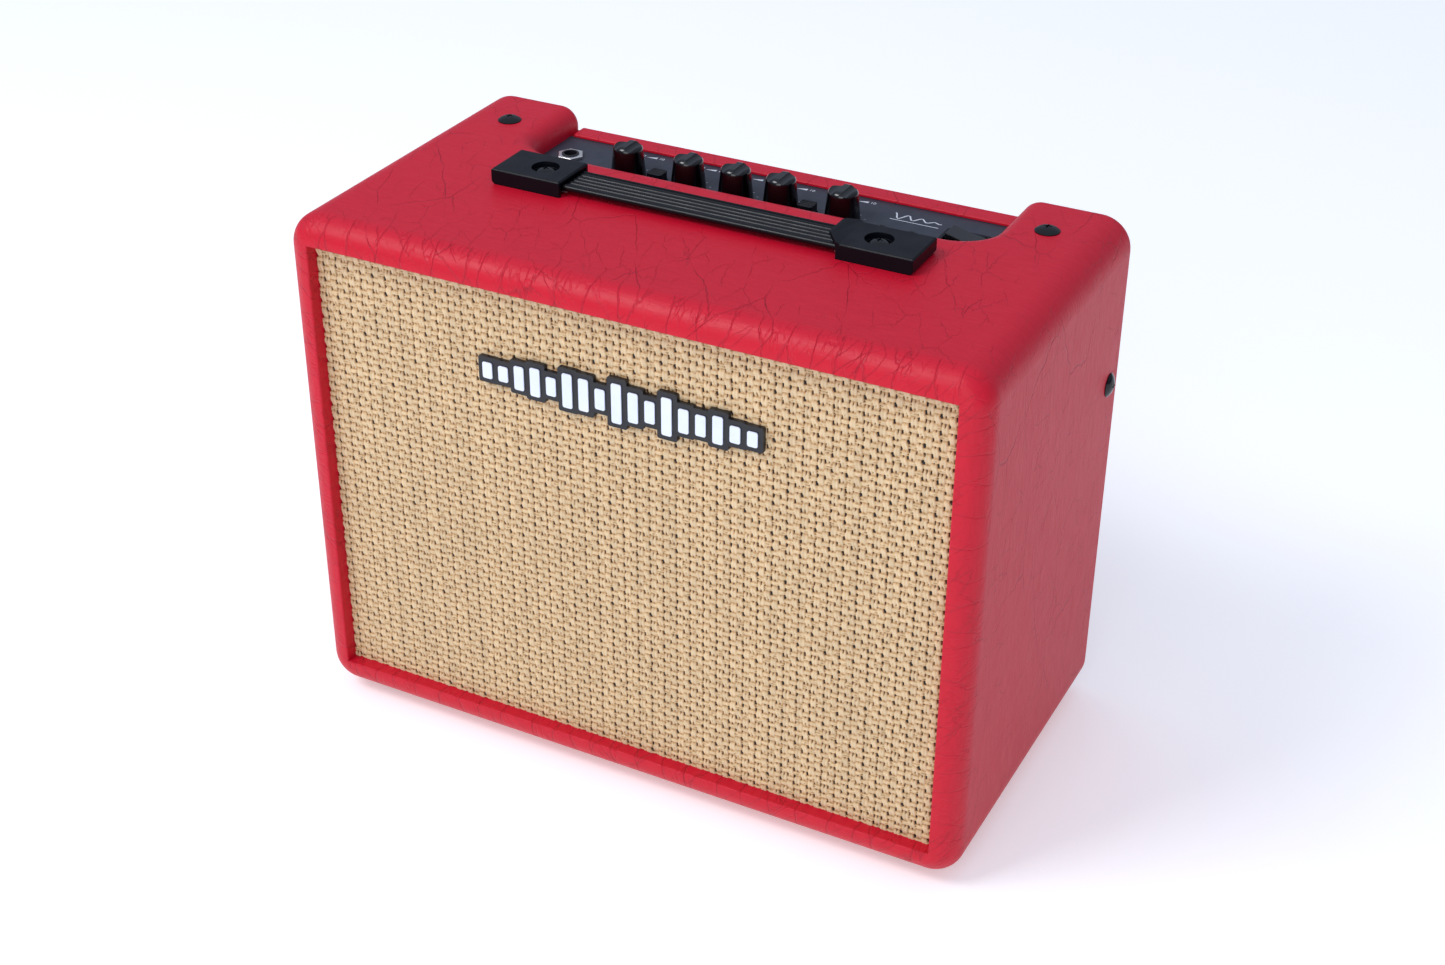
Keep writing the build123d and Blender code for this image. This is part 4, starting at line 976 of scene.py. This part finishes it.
@dataclass
class PanelPrint:
    """The marks printed on the control panel: ticks, digits, ramps and a plain wave."""

    lift: float = 0.04 * MM
    tick_inner: float = 9.9 * MM
    tick_outer: float = 10.9 * MM
    tick_width: float = 0.28 * MM
    ticks: int = 11
    sweep: float = 300.0
    digit: float = 2.9 * MM
    ramp_back: float = 24.0 * MM
    ramp: tuple[tuple[float, float], ...] = ((-3.0, -0.9), (2.6, -0.9), (2.6, 0.9))  # millimetres
    zero_left: float = 4.6 * MM
    ten_right: float = 5.0 * MM
    wave_size: tuple[float, float] = (24 * MM, 6 * MM)
    wave_shift: tuple[float, float] = (1.5 * MM, 6 * MM)
    wave_line: float = 0.7 * MM
    wave_steps: int = 64
    wave_turns: float = 3.5
    wave_decay: float = 0.7
    knobs: tuple[str, ...] = ("gain", "volume", "bass", "treble", "delay")

    def mark(self, shell: bmesh.types.BMesh, corners: list[Vector]) -> None:
        """Adds one flat mark with three or four corners."""
        shell.faces.new([shell.verts.new(corner) for corner in corners])

    def text(self, shell: bmesh.types.BMesh, words: str, place: Vector, size: float) -> None:
        """Adds digits, centred on a place.

        Args:
            shell: Mesh that gets them.
            words: The digits.
            place: Their middle.
            size: Their height of line.
        """
        curve = bpy.data.curves.new("digits", "FONT")
        curve.body, curve.size = words, size
        curve.align_x, curve.align_y = "CENTER", "CENTER"
        letters = bpy.data.objects.new("digits", curve)
        bpy.context.scene.collection.objects.link(letters)
        bpy.context.view_layer.update()
        graph = bpy.context.evaluated_depsgraph_get()
        mesh = bpy.data.meshes.new_from_object(letters.evaluated_get(graph))
        mesh.transform(Matrix.Translation(place))
        shell.from_mesh(mesh)
        bpy.data.objects.remove(letters)

    def wave(self, shell: bmesh.types.BMesh, middle: Vector, length: float, height: float) -> None:
        """Adds a ribbon that swings and dies away, over a straight rule.

        Args:
            shell: Mesh that gets it.
            middle: Middle of the mark.
            length: Its length.
            height: Its height.
        """
        half = self.wave_line / 2
        line = []
        for step in range(self.wave_steps + 1):
            share = step / self.wave_steps
            swing = 0.5 * height * math.cos(2 * self.wave_turns * math.pi * share)
            swing *= (1 - share) ** self.wave_decay
            line.append(middle + Vector(((share - 0.5) * length, swing, 0)))
        for first, second in zip(line, line[1:]):
            way = (second - first).normalized()
            side = Vector((-way.y, way.x, 0)) * half
            self.mark(shell, [first - side, second - side, second + side, first + side])
        under = middle - Vector((0, 0.72 * height, 0))
        reach = Vector((0.5 * length, 0, 0))
        rise = Vector((0, 0.25 * MM, 0))
        self.mark(
            shell,
            [under - reach - rise, under + reach - rise, under + reach + rise, under - reach + rise],
        )

    def build(self, dresser: Dresser) -> None:
        """Makes the print as one thin piece on the panel.

        Args:
            dresser: Not used; the print makes its own ink material.
        """
        _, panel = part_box("control_chassis")
        level = panel.z + self.lift
        shell = bmesh.new()
        for name in self.knobs:
            low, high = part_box(f"{name}_knob")
            centre = Vector(((low.x + high.x) / 2, (low.y + high.y) / 2, level))
            for tick in range(self.ticks):
                turn = math.radians(-90 - self.sweep / 2 + self.sweep * tick / (self.ticks - 1))
                way = Vector((-math.sin(turn + math.pi / 2), math.cos(turn + math.pi / 2), 0))
                side = Vector((-way.y, way.x, 0)) * self.tick_width / 2
                inner, outer = centre + way * self.tick_inner, centre + way * self.tick_outer
                self.mark(shell, [inner - side, outer - side, outer + side, inner + side])
            behind = centre + Vector((0, self.ramp_back, 0))
            self.text(shell, "0", behind + Vector((-self.zero_left, 0, 0)), self.digit)
            self.text(shell, "10", behind + Vector((self.ten_right, 0, 0)), self.digit)
            self.mark(shell, [behind + Vector((x, y, 0)) * MM for x, y in self.ramp])
        rocker_low, rocker_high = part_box("power_rocker")
        _, delay_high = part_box("delay_knob")
        right, back = self.wave_shift
        middle = Vector(((rocker_low.x + delay_high.x) / 2 + right, rocker_high.y + back, level))
        self.wave(shell, middle, *self.wave_size)
        mesh = bpy.data.meshes.new("panel_print")
        shell.to_mesh(mesh)
        shell.free()
        piece = make_object("panel_print", mesh, smooth=False)
        # Screen-printed epoxy ink: matt white, slightly broken at its edges.
        ink = Finish("screen_ink", "D8DADF", "C3C6CE", 0.6, grain_mm=0.4)
        piece.data.materials.append(ink.material())
        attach(piece, "root")
        log.info("panel_print: %d faces", len(mesh.polygons))


@dataclass
class Studio:
    """Pale floor, soft lights and the camera."""

    target: Vector = field(default_factory=lambda: Vector((0, 0.0015, 0.125)))
    distance: float = 1.04442
    azimuth: float = 27.62
    elevation: float = 30.85
    roll: float = 0.13
    lens: float = 54.27
    shift: tuple[float, float] = (0.0093, -0.0061)
    floor_size: float = 14.0
    glow: float = 0.3
    horizon: str = "7C8496"
    zenith: str = "DDE8FF"
    sky: float = 0.93
    lamps: tuple[tuple[str, tuple[float, float, float], float, float], ...] = (
        ("key_box", (-0.85, -1.05, 1.75), 0.8, 20.0),
        ("front_box", (0.35, -2.1, 1.0), 1.3, 14.0),
    )

    def camera(self) -> None:
        """Makes the camera."""
        around, above, roll = (math.radians(a) for a in (self.azimuth, self.elevation, self.roll))
        back = Vector(
            (math.sin(around) * math.cos(above), -math.cos(around) * math.cos(above), math.sin(above))
        )
        right = Vector((math.cos(around), math.sin(around), 0))
        up = back.cross(right)
        across = math.cos(roll) * right + math.sin(roll) * up
        upright = -math.sin(roll) * right + math.cos(roll) * up
        turn = Matrix((across, upright, back)).transposed().to_4x4()
        data = bpy.data.cameras.new("camera")
        data.lens, data.sensor_width = self.lens, 36.0
        data.shift_x, data.shift_y = self.shift
        data.clip_start, data.clip_end = 0.01, 60.0
        camera = bpy.data.objects.new("camera", data)
        camera.matrix_world = Matrix.Translation(self.target + back * self.distance) @ turn
        bpy.context.scene.collection.objects.link(camera)
        bpy.context.scene.camera = camera

    def lamp(self, name: str, place: Vector, size: float, power: float) -> None:
        """Adds a square soft box that faces the amplifier.

        Args:
            name: Name of the lamp.
            place: Where it stands.
            size: Side of the box.
            power: Watts.
        """
        data = bpy.data.lights.new(name, "AREA")
        data.size, data.energy = size, power
        lamp = bpy.data.objects.new(name, data)
        lamp.location = place
        lamp.rotation_euler = (self.target - place).to_track_quat("-Z", "Y").to_euler()
        bpy.context.scene.collection.objects.link(lamp)

    def sky_light(self) -> None:
        """Makes the sky: dim and bluish at the horizon, bright overhead."""
        world = bpy.data.worlds.new("sky")
        world.use_nodes = True
        tree = world.node_tree
        way = add_node(tree, "TexCoord").outputs["Generated"]
        height = add_node(tree, "SeparateXYZ", links={0: way}).outputs["Z"]
        blend = add_node(
            tree,
            "Mix",
            {"A": linear(self.horizon), "B": linear(self.zenith)},
            {"Factor": height},
            data_type="RGBA",
        )
        background = tree.nodes["Background"]
        tree.links.new(blend.outputs["Result"], background.inputs["Color"])
        background.inputs["Strength"].default_value = self.sky
        bpy.context.scene.world = world

    def build(self) -> None:
        """Makes the floor, the sky and the lights."""
        half = self.floor_size / 2
        mesh = bpy.data.meshes.new("floor")
        corners = [(-half, -half, 0), (half, -half, 0), (half, half, 0), (-half, half, 0)]
        mesh.from_pydata(corners, [], [(0, 1, 2, 3)])
        floor = make_object("floor", mesh, smooth=False)
        material, _, shader = start_material("pale_paper")
        shader.inputs["Base Color"].default_value = linear("EEEEEE")
        shader.inputs["Emission Color"].default_value = linear("FFFFFF")
        shader.inputs["Emission Strength"].default_value = self.glow
        shader.inputs["Roughness"].default_value = 0.9
        shader.inputs["Specular IOR Level"].default_value = 0.1
        mesh.materials.append(material)
        self.sky_light()
        for name, place, size, power in self.lamps:
            self.lamp(name, Vector(place), size, power)
        bpy.context.scene.view_settings.view_transform = "Standard"
        self.camera()


SOFT_EDGED: tuple[SoftEdged, ...] = (
    SoftEdged("left_handle_cap", Slot.BLACK_PLASTIC, 0.45 * MM),
    SoftEdged("right_handle_cap", Slot.BLACK_PLASTIC, 0.45 * MM),
    SoftEdged("gain_knob", Slot.GLOSS_BLACK, 0.35 * MM),
    SoftEdged("volume_knob", Slot.GLOSS_BLACK, 0.35 * MM),
    SoftEdged("bass_knob", Slot.GLOSS_BLACK, 0.35 * MM),
    SoftEdged("treble_knob", Slot.GLOSS_BLACK, 0.35 * MM),
    SoftEdged("delay_knob", Slot.GLOSS_BLACK, 0.35 * MM),
    SoftEdged("channel_button", Slot.BLACK_PLASTIC, 0.3 * MM),
    SoftEdged("tap_button", Slot.BLACK_PLASTIC, 0.3 * MM),
    SoftEdged("power_rocker", Slot.GLOSS_BLACK, 0.4 * MM),
    SoftEdged("rocker_frame", Slot.BLACK_PLASTIC, 0.3 * MM),
    SoftEdged("input_jack_nut", Slot.NICKEL, 0.3 * MM),
    SoftEdged("badge_plate", Slot.BADGE, 0.3 * MM),
    SoftEdged("badge_bars", Slot.BADGE_WHITE, 0.2 * MM),
)


def main() -> None:
    """Builds the amplifier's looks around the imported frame."""
    logging.basicConfig(level=logging.INFO, format="%(name)s: %(message)s")
    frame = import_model()
    Studio().build()
    dresser = Dresser()
    dresser.dress_nodes(frame)
    GrilleCloth().build(dresser)
    Strap().build()
    for piece in SOFT_EDGED:
        piece.build(dresser, frame)
    PanelPrint().build(dresser)


if __name__ == "__main__":
    main()
